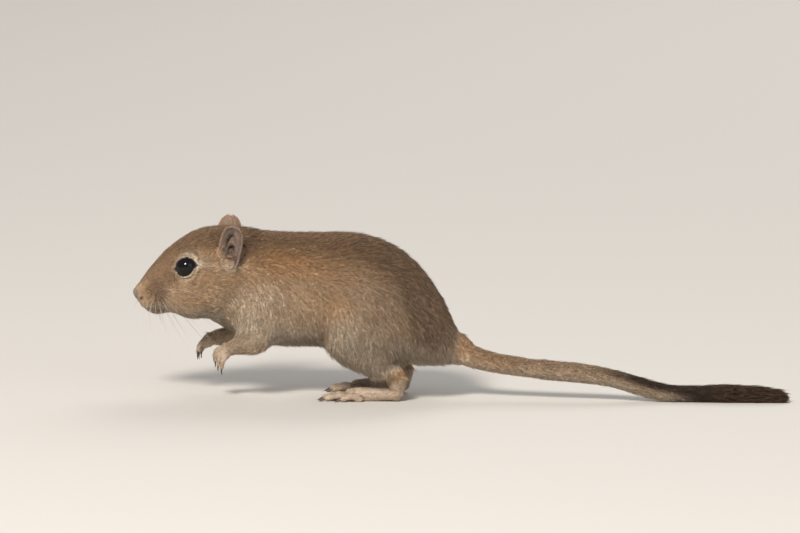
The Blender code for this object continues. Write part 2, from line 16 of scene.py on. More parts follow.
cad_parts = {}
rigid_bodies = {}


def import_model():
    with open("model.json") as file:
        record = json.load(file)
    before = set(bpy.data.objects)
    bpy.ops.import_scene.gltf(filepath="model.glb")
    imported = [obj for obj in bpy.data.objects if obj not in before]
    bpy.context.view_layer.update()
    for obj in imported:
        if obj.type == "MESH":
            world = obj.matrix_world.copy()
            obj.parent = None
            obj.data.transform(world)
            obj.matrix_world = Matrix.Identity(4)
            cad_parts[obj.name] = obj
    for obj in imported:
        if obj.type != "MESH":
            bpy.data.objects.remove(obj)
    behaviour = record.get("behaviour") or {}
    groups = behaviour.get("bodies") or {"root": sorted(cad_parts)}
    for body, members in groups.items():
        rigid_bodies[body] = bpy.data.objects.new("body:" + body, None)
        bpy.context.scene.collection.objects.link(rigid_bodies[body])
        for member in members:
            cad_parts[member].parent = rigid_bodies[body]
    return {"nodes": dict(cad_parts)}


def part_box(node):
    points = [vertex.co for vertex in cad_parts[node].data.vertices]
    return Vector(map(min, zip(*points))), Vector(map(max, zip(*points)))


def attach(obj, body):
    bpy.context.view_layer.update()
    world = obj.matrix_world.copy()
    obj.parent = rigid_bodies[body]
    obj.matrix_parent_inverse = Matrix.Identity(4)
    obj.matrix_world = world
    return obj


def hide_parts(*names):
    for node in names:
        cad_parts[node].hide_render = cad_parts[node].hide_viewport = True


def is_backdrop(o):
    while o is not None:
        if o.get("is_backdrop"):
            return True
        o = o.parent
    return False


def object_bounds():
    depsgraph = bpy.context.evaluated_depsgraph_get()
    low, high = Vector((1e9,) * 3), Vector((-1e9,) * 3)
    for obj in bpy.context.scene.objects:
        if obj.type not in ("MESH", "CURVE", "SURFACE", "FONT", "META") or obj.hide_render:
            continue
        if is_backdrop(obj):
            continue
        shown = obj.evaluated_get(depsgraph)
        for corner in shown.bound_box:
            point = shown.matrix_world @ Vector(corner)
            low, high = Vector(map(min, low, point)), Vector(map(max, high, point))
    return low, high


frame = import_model()
cad_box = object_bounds()

MM = 0.001
LEFT, RIGHT = -1, 1
SIDES = {"left": LEFT, "right": RIGHT}

# Camera: a long lens close to the ground, a little in front of the animal's left side
CAMERA_TURN, CAMERA_RISE = 6.0, 8.0  # degrees
CAMERA_DISTANCE = 3000.0
FRAME_WIDTH = 288.0  # what the picture spans at the animal
FRAME_CENTRE = (-36.06, 0.0, 0.0)
FRAME_SHIFT = (14.4, 46.62)  # from that point to the picture's middle, right and up
SENSOR = 36.0

# Flesh and how its smooth skin is made
FLESH = [name for name in frame["nodes"] if not name.startswith(("eye", "claw"))]
CUT_CLOSING = 0.3  # how far each node's surface grows to close the thin cuts between them
SKIN_VOXEL = 0.3
SKIN_SMOOTHING = 60
SKIN_TRIANGLES = 186000

# For each part of the flesh: how freely its skin is smoothed, the coat's depth and the lie of its hair,
# which on the trunk and thighs comes from the height instead
PARTS = {
    "nose": (0.25, 0.10, (0.7, 0.0, 0.7)),
    "head": (0.60, 0.80, (1.0, 0.0, -0.04)),
    "lower_jaw": (0.60, 0.60, (1.0, 0.0, -0.15)),
    "neck": (1.00, 1.20, None),
    "chest": (1.00, 1.30, None),
    "belly": (1.00, 1.35, None),
    "rump": (1.00, 1.35, None),
    "thigh": (0.85, 1.30, None),
    "shank": (0.60, 0.70, (0.4, 0.0, -0.9)),
    "upper_arm": (0.85, 1.10, (0.15, 0.0, -1.0)),
    "forearm": (0.50, 0.60, (-0.9, 0.0, -0.35)),
    "forepaw": (0.05, 0.0, (-0.85, 0.0, -0.5)),
    "hind_foot": (0.06, 0.0, (-1.0, 0.0, 0.0)),
    "ear": (0.12, 0.05, (0.1, 0.0, 1.0)),
    "tail_1": (0.60, 0.60, (0.9, 0.0, -0.4)),
    "tail_2": (0.50, 0.30, (1.0, 0.0, -0.1)),
    "tail_3": (0.50, 0.30, (1.0, 0.0, -0.18)),
    "tail_4": (0.40, 0.20, (1.0, 0.0, 0.0)),
}

# Eye opening, on the ball of the eye: half length and half height as shares of its radius
EYE_OPENING = (0.97, 0.79)
EYE_DROOP = 0.16  # how far its front corner lies lower
EYE_AXIS = (-0.16, 1.0, 0.14)  # outward, for the side at +Y
LID_THICKNESS = 0.42

NOSTRIL = (-115.1, 34.9)  # places along X and Z
FIT_FACING, FIT_REACH = 0.6, 2.5  # how alike skin and flesh face, and how near they lie, where one is fitted
MOUTH_FRONT, MOUTH_CORNER = (-114.2, 0.0, 30.9), (-106.5, 4.6, 31.4)

EAR_HEIGHT, EAR_HALF_WIDTH, EAR_BOWL_DEPTH, EAR_WALL = 15.2, 4.1, 2.8, 0.78
EAR_ROOTS = {LEFT: (-82.96, 12.2, 48.2), RIGHT: (-85.56, 12.2, 48.2)}
EAR_LEANS = {LEFT: 14.0, RIGHT: 4.0}  # how far each ear leans back, in degrees
EAR_TURNS = (("X", 9.0), ("Z", -14.0))  # leaning out and turned forward, in degrees
EAR_CANAL = (-1.0, 2.2, 7.6)  # in the ear's own frame

TOE_POINT = -36.06  # place along X above the hind toes' roots
FOOT_LINE = 10.9  # distance of a hind foot's middle from the animal's midline
# Hind toes, inner to outer: root from the toe point, offset from the foot's line, length and splay in degrees
HIND_TOES = (
    (0.8, -2.8, 4.7, -9.0),
    (-3.2, -2.0, 6.9, -6.0),
    (-3.6, -0.1, 7.6, 0.0),
    (-3.3, 1.8, 7.1, 7.0),
    (0.6, 3.0, 5.2, 11.0),
)
FOREPAWS = {
    "left": {"wrist": (-82.26, 9.8, 18.0), "droop": 38.0, "roll": 54.0, "drift": 1.0},
    "right": {"wrist": (-90.86, 8.8, 18.9), "droop": 38.0, "roll": 8.0, "drift": 0.0},
}
FORE_DIGIT_OFFSETS = (-1.95, -0.68, 0.68, 1.95)

MUZZLE_END = -98.0  # place along X where the fine coat of the muzzle ends
NOSE_PAD = (-117.2, 0.0, 36.2)
EAR_FRONT = (-88.5, 12.5, 52.0)  # the fringe of hair before the ear
LIP = (-109.5, 4.5, 31.5)  # the moustache
WAVE_LENGTH = 9.0  # of the slow turns in the lie of the hair
WHISKER_ROWS, WHISKER_COLUMNS, WHISKER_RADIUS = 4, 5, 0.075
FLOOR_CLEARANCE = 0.02
UNWRAP_BINS = 24
ATLAS_ROW = 4  # cells of the skin's unwrap in a row

# Coat pieces, each of one family of tufts: family, least distance between tufts and its swing from the lie
COATS = {
    "muzzle": ("fine", 0.32, 14.0),
    "cheek_left": ("fine", 0.36, 12.0),
    "cheek_right": ("fine", 0.36, 12.0),
    "neck": ("body", 0.50, 12.0),
    "chest": ("body", 0.53, 12.0),
    "belly_left": ("body", 0.50, 12.0),
    "belly_right": ("body", 0.50, 12.0),
    "rump": ("body", 0.54, 11.0),
    "thigh_left": ("body", 0.52, 12.0),
    "thigh_right": ("body", 0.52, 12.0),
    "forelimbs": ("fine", 0.40, 12.0),
    "hind_feet": ("fine", 0.42, 10.0),
    "tail": ("tail", 0.50, 9.0),
    "brush": ("brush", 0.46, 8.0),
    "ears": ("fine", 0.38, 12.0),
}
COAT_SLOTS = {"brush": "coat_dark", "forelimbs": "coat_cream", "hind_feet": "coat_cream"}
# Families of tufts: hairs in one, their width over their length, their spread at root and tip, and their bend
TUFTS = {
    "fine": {"hairs": 4, "width": 0.068, "roots": 0.13, "tips": 0.14, "bend": 0.03, "bands": 1},
    "body": {"hairs": 7, "width": 0.037, "roots": 0.09, "tips": 0.09, "bend": 0.04, "bands": 1},
    "tail": {"hairs": 6, "width": 0.055, "roots": 0.11, "tips": 0.10, "bend": 0.04, "bands": 1},
    "brush": {"hairs": 6, "width": 0.028, "roots": 0.06, "tips": 0.06, "bend": 0.05, "bands": 2},
}
TUFT_KINDS = 6  # different tufts in a family
TUFT_PATCH = 0.003  # a tuft's width on the coat's unwrap
# Hair length and lift from the skin in degrees, by part of the flesh
HAIR = {
    "nose": (0.7, 8.0),
    "head": (2.6, 11.0),
    "lower_jaw": (2.6, 14.0),
    "neck": (3.7, 12.0),
    "chest": (4.0, 13.0),
    "belly": (4.8, 12.0),
    "rump": (4.6, 12.0),
    "thigh": (4.4, 13.0),
    "shank": (3.0, 11.0),
    "upper_arm": (3.2, 13.0),
    "forearm": (2.6, 10.0),
    "forepaw": (1.3, 8.0),
    "hind_foot": (1.4, 7.0),
    "ear": (1.3, 9.0),
    "tail_1": (3.0, 9.0),
    "tail_2": (2.8, 9.0),
    "tail_3": (3.6, 10.0),
    "tail_4": (7.5, 6.0),
}

# Soft spots in the markings and painted shade: strength, place on the right side, which the left mirrors, and
# radii
SPOTS = {
    "pale": (
        (0.6, (-36.0, 18.0, 24.0), (9.0, 9.0, 8.0)),  # front of the thigh
        (0.6, (-74.0, 11.0, 27.0), (11.0, 8.0, 9.0)),  # chest
        (0.6, (-96.0, 11.0, 50.2), (4.6, 3.0, 2.4)),  # above the eye
        (0.9, (-85.0, 13.5, 47.3), (7.5, 4.0, 1.5)),  # below the ear
        (0.9, (-109.5, 4.0, 31.2), (4.5, 4.0, 1.8)),  # lip
    ),
    "rufous": (
        (0.6, (-60.0, 14.0, 51.0), (15.0, 9.0, 5.5)),  # shoulder
        (0.5, (-67.0, 12.0, 53.5), (5.0, 7.0, 3.0)),  # side of the nape
        (1.3, (-42.5, 20.0, 35.2), (8.0, 9.0, 4.0)),  # flank
        (0.9, (-2.5, 3.0, 20.5), (3.6, 9.0, 5.5)),  # root of the tail
        (0.25, (-23.0, 12.0, 10.5), (4.0, 6.0, 3.0)),  # heel
        (0.9, (-112.0, 3.5, 36.6), (2.0, 3.6, 3.4)),  # behind the nose
    ),
    "dark": (
        (0.7, (-109.5, 5.0, 37.8), (5.0, 4.5, 4.8)),  # muzzle
        (1.2, (-107.6, 5.5, 37.0), (2.0, 3.2, 2.6)),  # whisker pad
        (0.7, (-110.4, 5.0, 38.4), (2.2, 3.0, 2.0)),  # front of the whisker pad
        (1.0, (-76.5, 11.0, 56.0), (4.0, 4.5, 4.8)),  # painted shadow that the ear casts behind it
        (1.1, (-48.0, 16.0, 24.0), (1.3, 9.0, 6.0)),  # painted shade in the crease before the thigh
    ),
}

# Colours of the hair and skin
SAND = (0.63, 0.41, 0.235)
RUFOUS = (0.66, 0.34, 0.12)
CREAM = (0.82, 0.68, 0.52)
ASHEN = (0.50, 0.415, 0.325)
UMBER = (0.17, 0.098, 0.056)
SOOT = (0.018, 0.014, 0.012)
SLATE = (0.12, 0.095, 0.078)
DUSKY_SKIN = (0.20, 0.145, 0.118)
PINK_SKIN = (0.38, 0.27, 0.22)
# dark lid rims, also the colour of painted shade in folds and ear canals
LID_RIM_AND_SHADE_DARK = (0.025, 0.017, 0.014)


def rise(value, low, high):
    """Goes smoothly from 0 at low to 1 at high."""
    t = np.clip((value - low) / (high - low), 0.0, 1.0)
    return t * t * (3.0 - 2.0 * t)


def spot(points, centre, radii):
    """1 at a centre, fading towards 0 over the radii."""
    return np.exp(-(((points - np.array(centre)) / np.array(radii)) ** 2).sum(1))


def spots(beside, name):
    """The soft spots of one kind of colour, added together; the dark ones include painted shade."""
    return sum(strength * spot(beside, centre, radii) for strength, centre, radii in SPOTS[name])


def folded(points):
    """Points with both sides of the animal laid on its right."""
    return points * [1, 0, 1] + np.abs(points) * [0, 1, 0]


def mirrored(point, side):
    return Vector((point[0], point[1] * side, point[2]))


def linked(name, mesh):
    made = bpy.data.objects.new(name, mesh)
    bpy.context.scene.collection.objects.link(made)
    return made


def discard(obj):
    bpy.data.objects.remove(obj, do_unlink=True)


def object_from(name, bm):
    """Stores a bmesh in millimetres as an object in metres, with its faces pointing out."""
    bmesh.ops.recalc_face_normals(bm, faces=bm.faces)
    bm.transform(Matrix.Scale(MM, 4))
    mesh = bpy.data.meshes.new(name)
    bm.to_mesh(mesh)
    bm.free()
    mesh.polygons.foreach_set("use_smooth", [True] * len(mesh.polygons))
    return linked(name, mesh)


def settle(obj):
    """Turns the object's modifiers into its mesh."""
    bpy.context.view_layer.update()
    graph = bpy.context.evaluated_depsgraph_get()
    mesh = bpy.data.meshes.new_from_object(obj.evaluated_get(graph))
    obj.modifiers.clear()
    obj.data = mesh
    return obj


def read_points(mesh):
    flat = np.empty(len(mesh.vertices) * 3, np.float32)
    mesh.vertices.foreach_get("co", flat)
    return flat.reshape(-1, 3).astype(float) / MM


def read_normals(mesh):
    flat = np.empty(len(mesh.vertices) * 3, np.float32)
    mesh.vertex_normals.foreach_get("vector", flat)
    return flat.reshape(-1, 3).astype(float)


def write_points(mesh, points):
    mesh.vertices.foreach_set("co", (points * MM).astype(np.float32).ravel())
    mesh.update()


def read_edges(mesh):
    flat = np.empty(len(mesh.edges) * 2, np.int32)
    mesh.edges.foreach_get("vertices", flat)
    return flat.reshape(-1, 2)


def spread(values, edges, rounds):
    """Values at the vertices, each round averaged with those next to them."""
    values = np.asarray(values, float).reshape(len(values), -1)
    count = len(values)
    ends = np.concatenate([edges[:, 0], edges[:, 1]])
    others = np.concatenate([edges[:, 1], edges[:, 0]])
    order = np.argsort(ends, kind="stable")
    ends, others = ends[order], others[order]
    degree = np.bincount(ends, minlength=count)[:, None]
    starts = np.concatenate([[0], np.cumsum(degree[:, 0])[:-1]])
    for _ in range(rounds):
        mean = np.add.reduceat(values[others], starts, axis=0) / degree
        values = 0.5 * (values + mean)
    return values


def camera():
    """The photograph's view of the animal."""
    turn, lift = math.radians(CAMERA_TURN), math.radians(CAMERA_RISE)
    back = Vector((math.sin(turn) * math.cos(lift), -math.cos(turn) * math.cos(lift), math.sin(lift)))
    right = Vector((math.cos(turn), math.sin(turn), 0.0))
    up = right.cross(-back)
    made = bpy.data.cameras.new("camera")
    made.sensor_width = SENSOR
    made.lens = SENSOR * CAMERA_DISTANCE / FRAME_WIDTH
    made.clip_start, made.clip_end = 0.1, 50.0
    obj = linked("camera", made)
    aim = Vector(FRAME_CENTRE) + right * FRAME_SHIFT[0] + up * FRAME_SHIFT[1]
    obj.location = (aim + back * CAMERA_DISTANCE) * MM
    obj.rotation_mode = "QUATERNION"
    obj.rotation_quaternion = (-back).to_track_quat("-Z", "Y")
    bpy.context.scene.camera = obj


def lamp(name, place, size, power, colour):
    """A square soft light that faces the animal, with its place in metres."""
    made = bpy.data.lights.new(name, "AREA")
    made.size, made.energy, made.color = size, power, colour
    obj = linked(name, made)
    obj.location = place
    aim = Vector((-0.03, 0.0, 0.03)) - Vector(place)
    obj.rotation_mode = "QUATERNION"
    obj.rotation_quaternion = aim.to_track_quat("-Z", "Y")


def studio():
    """A plain pale floor and soft light, strongest from in front of the animal, above and to its left."""
    lamp("key", (-0.45, -1.6, 1.5), 0.55, 54.0, (1.0, 0.95, 0.88))
    lamp("fill", (1.5, -1.5, 0.9), 1.6, 7.0, (0.92, 0.96, 1.0))
    lamp("back", (0.4, 1.6, 1.3), 1.2, 15.0, (1.0, 0.97, 0.93))
    world = bpy.data.worlds.new("room")
    bpy.context.scene.world = world
    world.use_nodes = True
    air = world.node_tree.nodes["Background"]
    air.inputs["Color"].default_value = (0.86, 0.87, 0.9, 1.0)
    air.inputs["Strength"].default_value = 0.4
    bpy.context.scene.view_settings.view_transform = "Standard"
    bm = bmesh.new()
    bmesh.ops.create_circle(bm, cap_ends=True, segments=96, radius=6000.0)
    floor = object_from("floor", bm)
    paper = bpy.data.materials.new("floor paper")
    paper.use_nodes = True
    shader = paper.node_tree.nodes["Principled BSDF"]
    shader.inputs["Base Color"].default_value = (0.62, 0.59, 0.55, 1.0)
    shader.inputs["Roughness"].default_value = 0.9
    floor.data.materials.append(paper)
    floor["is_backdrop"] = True


def node_shape(name):
    """A CAD node's surface in millimetres as a bmesh, grown to close the cuts round it."""
    bm = bmesh.new()
    bm.from_mesh(frame["nodes"][name].data)
    bm.transform(Matrix.Scale(1 / MM, 4))
    bmesh.ops.remove_doubles(bm, verts=bm.verts, dist=0.001)
    bm.normal_update()
    outward = [vertex.normal.copy() for vertex in bm.verts]
    for vertex, normal in zip(bm.verts, outward):
        vertex.co += normal * CUT_CLOSING
    return bm


def ball(centre, radii, segments=32):
    bm = bmesh.new()
    bmesh.ops.create_uvsphere(bm, u_segments=segments, v_segments=segments // 2, radius=1.0)
    bm.transform(Matrix.Translation(centre) @ Matrix.Diagonal((*radii, 1.0)))
    return bm


def ear_frame(side):
    """An ear's own frame: +Z up the ear, +X to its rear edge and -Y out of its bowl, on the left ear."""
    place = Matrix.Translation(mirrored(EAR_ROOTS[side], LEFT))
    for axis, degrees in (("Y", EAR_LEANS[side]), *EAR_TURNS):
        place = place @ Matrix.Rotation(math.radians(degrees), 4, axis)
    return Matrix.Scale(-1, 4, (0, 1, 0)) @ place if side == RIGHT else place


def ear_outline(height):
    """Half width of the ear at a share of its height."""
    widest = 0.62
    if height > widest:
        return math.sqrt(max(0.0, 1 - ((height - widest) / (1 - widest)) ** 2.3))
    return 0.74 + 0.26 * math.sin(0.5 * math.pi * height / widest)


def ear_set_back(height):
    """How far the ear's middle line lies back at a share of its height."""
    return 0.9 * (1 - height) ** 2


def ridge(value, middle, width):
    return math.exp(-(((value - middle) / width) ** 2))


def ear_point(height, across):
    """A point of the ear's bowl, with its rolled rim, its inner ridge and its deep front hollow."""
    half = EAR_HALF_WIDTH * ear_outline(height)
    hollow = EAR_BOWL_DEPTH * (1 - across**2) * math.cos(height * 1.25)
    front_fold = 0.8 * (1 - height) * max(0.0, -across) ** 2
    middle_of_ear = ridge(height, 0.5, 0.24)
    inner_ridge = 0.4 * ridge(across, 0.52 - 0.25 * height, 0.15) * middle_of_ear
    deep = 1.0 * ridge(across, -0.12 - 0.2 * height, 0.28) * middle_of_ear
    behind = 0.3 * ridge(across, 0.62, 0.13) * ridge(height, 0.3, 0.2)
    edge = max(abs(across), (height - 0.35) / 0.65)
    rim = 0.45 * ridge(edge, 1.0, 0.12)
    across_ear = half * across + ear_set_back(height) - front_fold
    into_ear = hollow - 0.4 * front_fold - inner_ridge + deep + behind - rim
    return Vector((across_ear, into_ear, EAR_HEIGHT * height))


def ear_shapes(side):
    """The ear's wall and its root as closed shapes."""
    rows, columns = 44, 36
    bm = bmesh.new()
    grid = [[bm.verts.new(ear_point(0.985 * i / rows, 2 * j / columns - 1)) for j in range(columns + 1)]
            for i in range(rows + 1)]
    for low, high in zip(grid, grid[1:]):
        for j in range(columns):
            bm.faces.new((low[j], low[j + 1], high[j + 1], high[j]))
    bowl = object_from("bowl", bm)
    wall = bowl.modifiers.new("wall", "SOLIDIFY")
    wall.thickness = EAR_WALL * MM
    wall.offset = 0.0
    settle(bowl)
    bm = bmesh.new()
    bm.from_mesh(bowl.data)
    bm.transform(Matrix.Scale(1 / MM, 4))
    discard(bowl)
    root = ball((-0.2, 1.9, 0.0), (4.5, 2.2, 2.4), 24)
    lobe = ball((-0.6, 0.3, 2.9), (1.1, 0.65, 1.8), 20)
    made = []
    for shape in (bm, root, lobe):
        shape.transform(ear_frame(side))
        if side == RIGHT:
            bmesh.ops.reverse_faces(shape, faces=shape.faces)
        made.append(shape)
    return made


def chain(rows, step=0.45, flatness=1.0):
    """Overlapping balls along a path of rows of x, y, z and radius."""
    made = []
    for a, b in zip(rows, rows[1:]):
        a, b = np.array(a, float), np.array(b, float)
        count = max(1, round(np.linalg.norm(b[:3] - a[:3]) / step))
        for i in range(count + 1):
            x, y, z, radius = a + (b - a) * i / count
            made.append(ball((x, y, z), (radius, radius, radius * flatness), 14))
    return made


def hind_foot_shapes(side):
    """Heel, sole and five toes with their knuckles and pads."""
    heel, line = TOE_POINT + 15.2, FOOT_LINE
    made = chain([(heel - 0.8, line + 0.9, 12.5, 4.2), (heel - 0.6, line + 0.4, 8.8, 3.8),
                  (heel - 0.7, line, 5.6, 3.2)])
    made.append(ball((heel - 1.2, line, 3.5), (3.0, 2.7, 3.3)))
    made += chain([(heel - 1.4, line, 3.0, 2.7), (heel - 7.2, line, 2.5, 2.5), (heel - 13.7, line, 2.2, 2.8),
                   (heel - 17.2, line, 1.9, 2.6)], flatness=0.95)
    for base_x, offset, length, splay in HIND_TOES:
        way = np.array([-math.cos(math.radians(splay)), math.sin(math.radians(splay)), 0.0])
        base = np.array([TOE_POINT + base_x, line + offset, 1.6])
        knuckle = base + way * length * 0.5 + [0, 0, 0.35]
        tip = base + way * length + [0, 0, -0.45]
        made += chain([(*base, 1.15), (*knuckle, 1.12), (*((knuckle + tip) / 2), 0.98), (*tip, 1.08)])
        made.append(ball(base + [0.4, 0, -0.7], (1.7, 1.1, 1.1), 14))
        made.append(ball(tip + [0.2, 0, -0.35], (0.95, 0.85, 0.75), 14))
    if side == LEFT:
        for shape in made:
            shape.transform(Matrix.Scale(-1, 4, (0, 1, 0)))
            bmesh.ops.reverse_faces(shape, faces=shape.faces)
    return made


def forepaw_frame(name):
    """A forepaw's own frame: origin at the wrist, +X to the digits and +Z out of the back of the paw."""
    pose, side = FOREPAWS[name], SIDES[name]
    turn = Matrix.Rotation(math.pi, 4, "Z") @ Matrix.Rotation(math.radians(pose["droop"]), 4, "Y")
    inward = Matrix.Rotation(math.radians(pose["roll"] * side), 4, "X")
    return Matrix.Translation(mirrored(pose["wrist"], side)) @ turn @ inward


def forepaw_shapes(name):
    """Wrist, palm with its pads, a stub of a thumb and four digits that curl down."""
    made = chain([(-3.4, 0, 0, 2.8), (0, 0, 0, 2.7), (1.8, 0, 0.1, 2.4)], flatness=0.92)
    made.append(ball((2.7, 0.0, 0.1), (2.7, 3.0, 1.9), 20))
    drift = FOREPAWS[name]["drift"]
    made.append(ball((1.6, -2.1, -0.9), (1.1, 0.7, 0.7), 14))
    for across in (-1.1, 1.1):
        made.append(ball((1.9, across, -1.3), (1.2, 1.0, 0.8), 14))
    for offset in FORE_DIGIT_OFFSETS:
        longer = 0.5 if abs(offset) < 1 else 0.0
        rows = [(2.6, offset * 1.1, 0.5, 0.98), (4.4 + longer, offset * 1.42 + 0.45 * drift, 0.5, 0.84),
                (5.3 + longer, offset * 1.52 + 0.75 * drift, -0.1, 0.72),
                (6.0 + longer, offset * 1.55 + drift, -0.8, 0.78)]
        made += chain(rows, step=0.35)
    for shape in made:
        shape.transform(forepaw_frame(name))
    return made


def eye_place(side):
    """Centre and radius of an eye's ball, from its CAD node."""
    low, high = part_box("eye_left" if side == LEFT else "eye_right")
    return (low + high) / 2 / MM, (high.z - low.z) / 2 / MM


def merged(name, shapes):
    """One object that holds the given bmeshes."""
    whole = bmesh.new()
    for shape in shapes:
        mesh = bpy.data.meshes.new("part")
        shape.to_mesh(mesh)
        shape.free()
        whole.from_mesh(mesh)
        bpy.data.meshes.remove(mesh)
    whole.transform(Matrix.Scale(MM, 4))
    mesh = bpy.data.meshes.new(name)
    whole.to_mesh(mesh)
    whole.free()
    return linked(name, mesh)


def part_number(name):
    return list(PARTS).index(name)


def is_part(kinds, *names):
    """Whether each point belongs to one of the named parts of the flesh."""
    return np.isin(kinds, [part_number(name) for name in names])


def by_part(values, kinds):
    """For each point, the value given for the part of the flesh that it belongs to."""
    return np.array([values[name] for name in PARTS], float)[kinds]


def flesh_tree():
    """The CAD flesh as a search tree, with the kind of part that each of its faces belongs to."""
    kinds = list(PARTS)
    corners, faces, kind_of = [], [], []
    for name in FLESH:
        mesh = frame["nodes"][name].data
        kind = next(i for i, start in enumerate(kinds) if name.startswith(start))
        first = len(corners)
        corners += [vertex.co / MM for vertex in mesh.vertices]
        faces += [[first + i for i in polygon.vertices] for polygon in mesh.polygons]
        kind_of += [kind] * len(mesh.polygons)
    return BVHTree.FromPolygons(corners, faces), np.array(kind_of)


def kinds_at(points, tree, kind_of):
    """Index in PARTS of the flesh that lies nearest to each point."""
    nearest = [tree.find_nearest(point)[2] for point in points]
    return kind_of[np.array(nearest)]


def fitted(points, normals, tree, edges):
    """Points moved out or in along their normals to lie on the CAD surface, evenly over cuts and facets."""
    gap, trust = np.zeros(len(points)), np.zeros(len(points))
    for i, (point, normal) in enumerate(zip(points, normals)):
        place, facing, _, distance = tree.find_nearest(point)
        level = facing.dot(normal)
        if level > FIT_FACING and distance < FIT_REACH:
            gap[i] = (place - Vector(point)).dot(facing)
            trust[i] = 1.0
    both = spread(np.stack([gap * trust, trust], 1), edges, 24)
    return points + normals * (both[:, 0] / np.maximum(both[:, 1], 0.05))[:, None]


def eye_coordinates(points, side):
    """Points seen from an eye's middle, as forward, up and outward distances over the eye's radius."""
    centre, radius = eye_place(side)
    axis = mirrored(EYE_AXIS, side).normalized()
    forward = (Vector((-1, 0, 0)) - axis * axis.dot(Vector((-1, 0, 0)))).normalized()
    up = axis.cross(forward) * side
    away = (points - np.array(centre)) / radius
    return away @ np.array(forward), away @ np.array(up), away @ np.array(axis)


def eye_opening(points, side):
    """0 in the middle of the eye's opening, 1 on its edge and more outside it."""
    forward, up, outward = eye_coordinates(points, side)
    half_length, half_height = EYE_OPENING
    level = up + EYE_DROOP * forward
    corner = 1 - 0.36 * np.clip(np.abs(forward / half_length), 0, 1.2) ** 3
    behind = np.minimum(outward, 0)
    return np.sqrt((forward / half_length) ** 2 + (level / (half_height * corner)) ** 2 + behind**2)


def shape_lids(points):
    """Opens the skin over each eye and lays its lids on the ball."""
    for side in SIDES.values():
        centre, radius = eye_place(side)
        centre = np.array(centre)
        distance = np.linalg.norm(points - centre, axis=1)
        direction = (points - centre) / distance[:, None]
        place = eye_opening(points, side)
        near = distance < radius * 2.2
        lid = radius + LID_THICKNESS
        over = np.where(distance < lid + 0.15, lid, distance)
        laid = distance + (over - distance) * (1 - rise(place, 1.25, 1.9))
        rim = 0.16 * np.exp(-(((place - 1.08) / 0.09) ** 2))
        sunk = radius * 0.72
        opened = laid + rim + (sunk - laid) * (1 - rise(place, 0.90, 1.02))
        points = np.where((near & (place < 1.9))[:, None], centre + direction * opened[:, None], points)
    return points


def mouth_place(points):
    """Distance of each point to the line of the mouth, and how far along it lies."""
    beside = folded(points)
    start, end = np.array(MOUTH_FRONT), np.array(MOUTH_CORNER)
    along = np.clip((beside - start) @ (end - start) / ((end - start) ** 2).sum(), 0, 1)
    bow = np.zeros_like(points)
    bow[:, 1] = 1.5 * np.sin(math.pi * along)
    bow[:, 2] = -0.5 * np.sin(math.pi * along)
    return np.linalg.norm(beside - (start + along[:, None] * (end - start) + bow), axis=1), along


def shape_face(points, normals):
    """Presses in the nostrils, the groove under the nose and the line of the mouth."""
    beside = folded(points)
    nostril_x, nostril_z = NOSTRIL
    ahead, above = points[:, 0] - nostril_x, points[:, 2] - nostril_z
    nostril = np.exp(-((ahead / 0.8) ** 2) - ((above - 0.5 * ahead) / 0.5) ** 2)
    nostril = nostril * rise(beside[:, 1], 0.5, 1.2)
    pad_edge = spot(beside, NOSE_PAD, (2.0, 2.3, 1.9))
    pad_groove = np.exp(-(((pad_edge - 0.3) / 0.1) ** 2)) * rise(-points[:, 0], 113.0, 114.5)
    away, along = mouth_place(points)
    mouth = np.exp(-((away / 0.42) ** 2)) * (1 - 0.5 * along)
    groove = np.exp(-((points[:, 1] / 0.3) ** 2)) * rise(-points[:, 0], 115.0, 116.0)
    groove = groove * rise(-points[:, 2], -36.0, -34.5)
    return points - normals * (1.2 * nostril + 0.55 * mouth + 0.3 * groove + 0.16 * pad_groove)[:, None]


def ear_places(points, normals, side):
    """Points in an ear's own frame, their shares of its height and half width, and how far they face out."""
    into = np.linalg.inv(np.array(ear_frame(side)))
    place = points @ into[:3, :3].T + into[:3, 3]
    height = np.clip(place[:, 2] / EAR_HEIGHT, 0, 1)
    outline = np.array([ear_outline(h) for h in np.linspace(0, 1, 41)])
    half = EAR_HALF_WIDTH * outline[(height * 40).astype(int)]
    share = np.abs(place[:, 0] - ear_set_back(height)) / np.maximum(half, 0.3)
    return place, height, share, -(normals @ into[:3, :3].T)[:, 1]


def concha(points, normals, side):
    """1 inside the bowl of an ear, on the surfaces that face out of it."""
    place, _, share, outward = ear_places(points, normals, side)
    inside = (1 - rise(share, 0.86, 1.02)) * rise(place[:, 2], 0.6, 1.8)
    inside = inside * (1 - rise(place[:, 2], 14.4, 15.2))
    return inside * rise(outward, 0.0, 0.35) * (np.abs(place[:, 1] - 1.5) < 4.2)


def shape_ears(points, normals):
    """Clears the bowl of each ear down to its wall, and deepens the canal at its bottom."""
    for side in SIDES.values():
        place, height, share, outward = ear_places(points, normals, side)
        share = np.clip(share, 0, 1)
        bowl = EAR_BOWL_DEPTH * (1 - share**2) * np.cos(height * 1.25) - 0.5 * EAR_WALL
        within = (1 - rise(share, 0.72, 0.96)) * rise(place[:, 2], 1.6, 3.4)
        within = within * (1 - rise(place[:, 2], 13.0, 14.6))
        facing = rise(outward, -0.2, 0.2) * (np.abs(place[:, 1]) < 5.0)
        push = np.maximum(bowl - place[:, 1], 0) * within * facing
        push += 1.6 * spot(place, EAR_CANAL, (1.5, 3.0, 3.4)) * facing * within
        points = points + np.array(ear_frame(side))[:3, 1] * push[:, None]
    return points


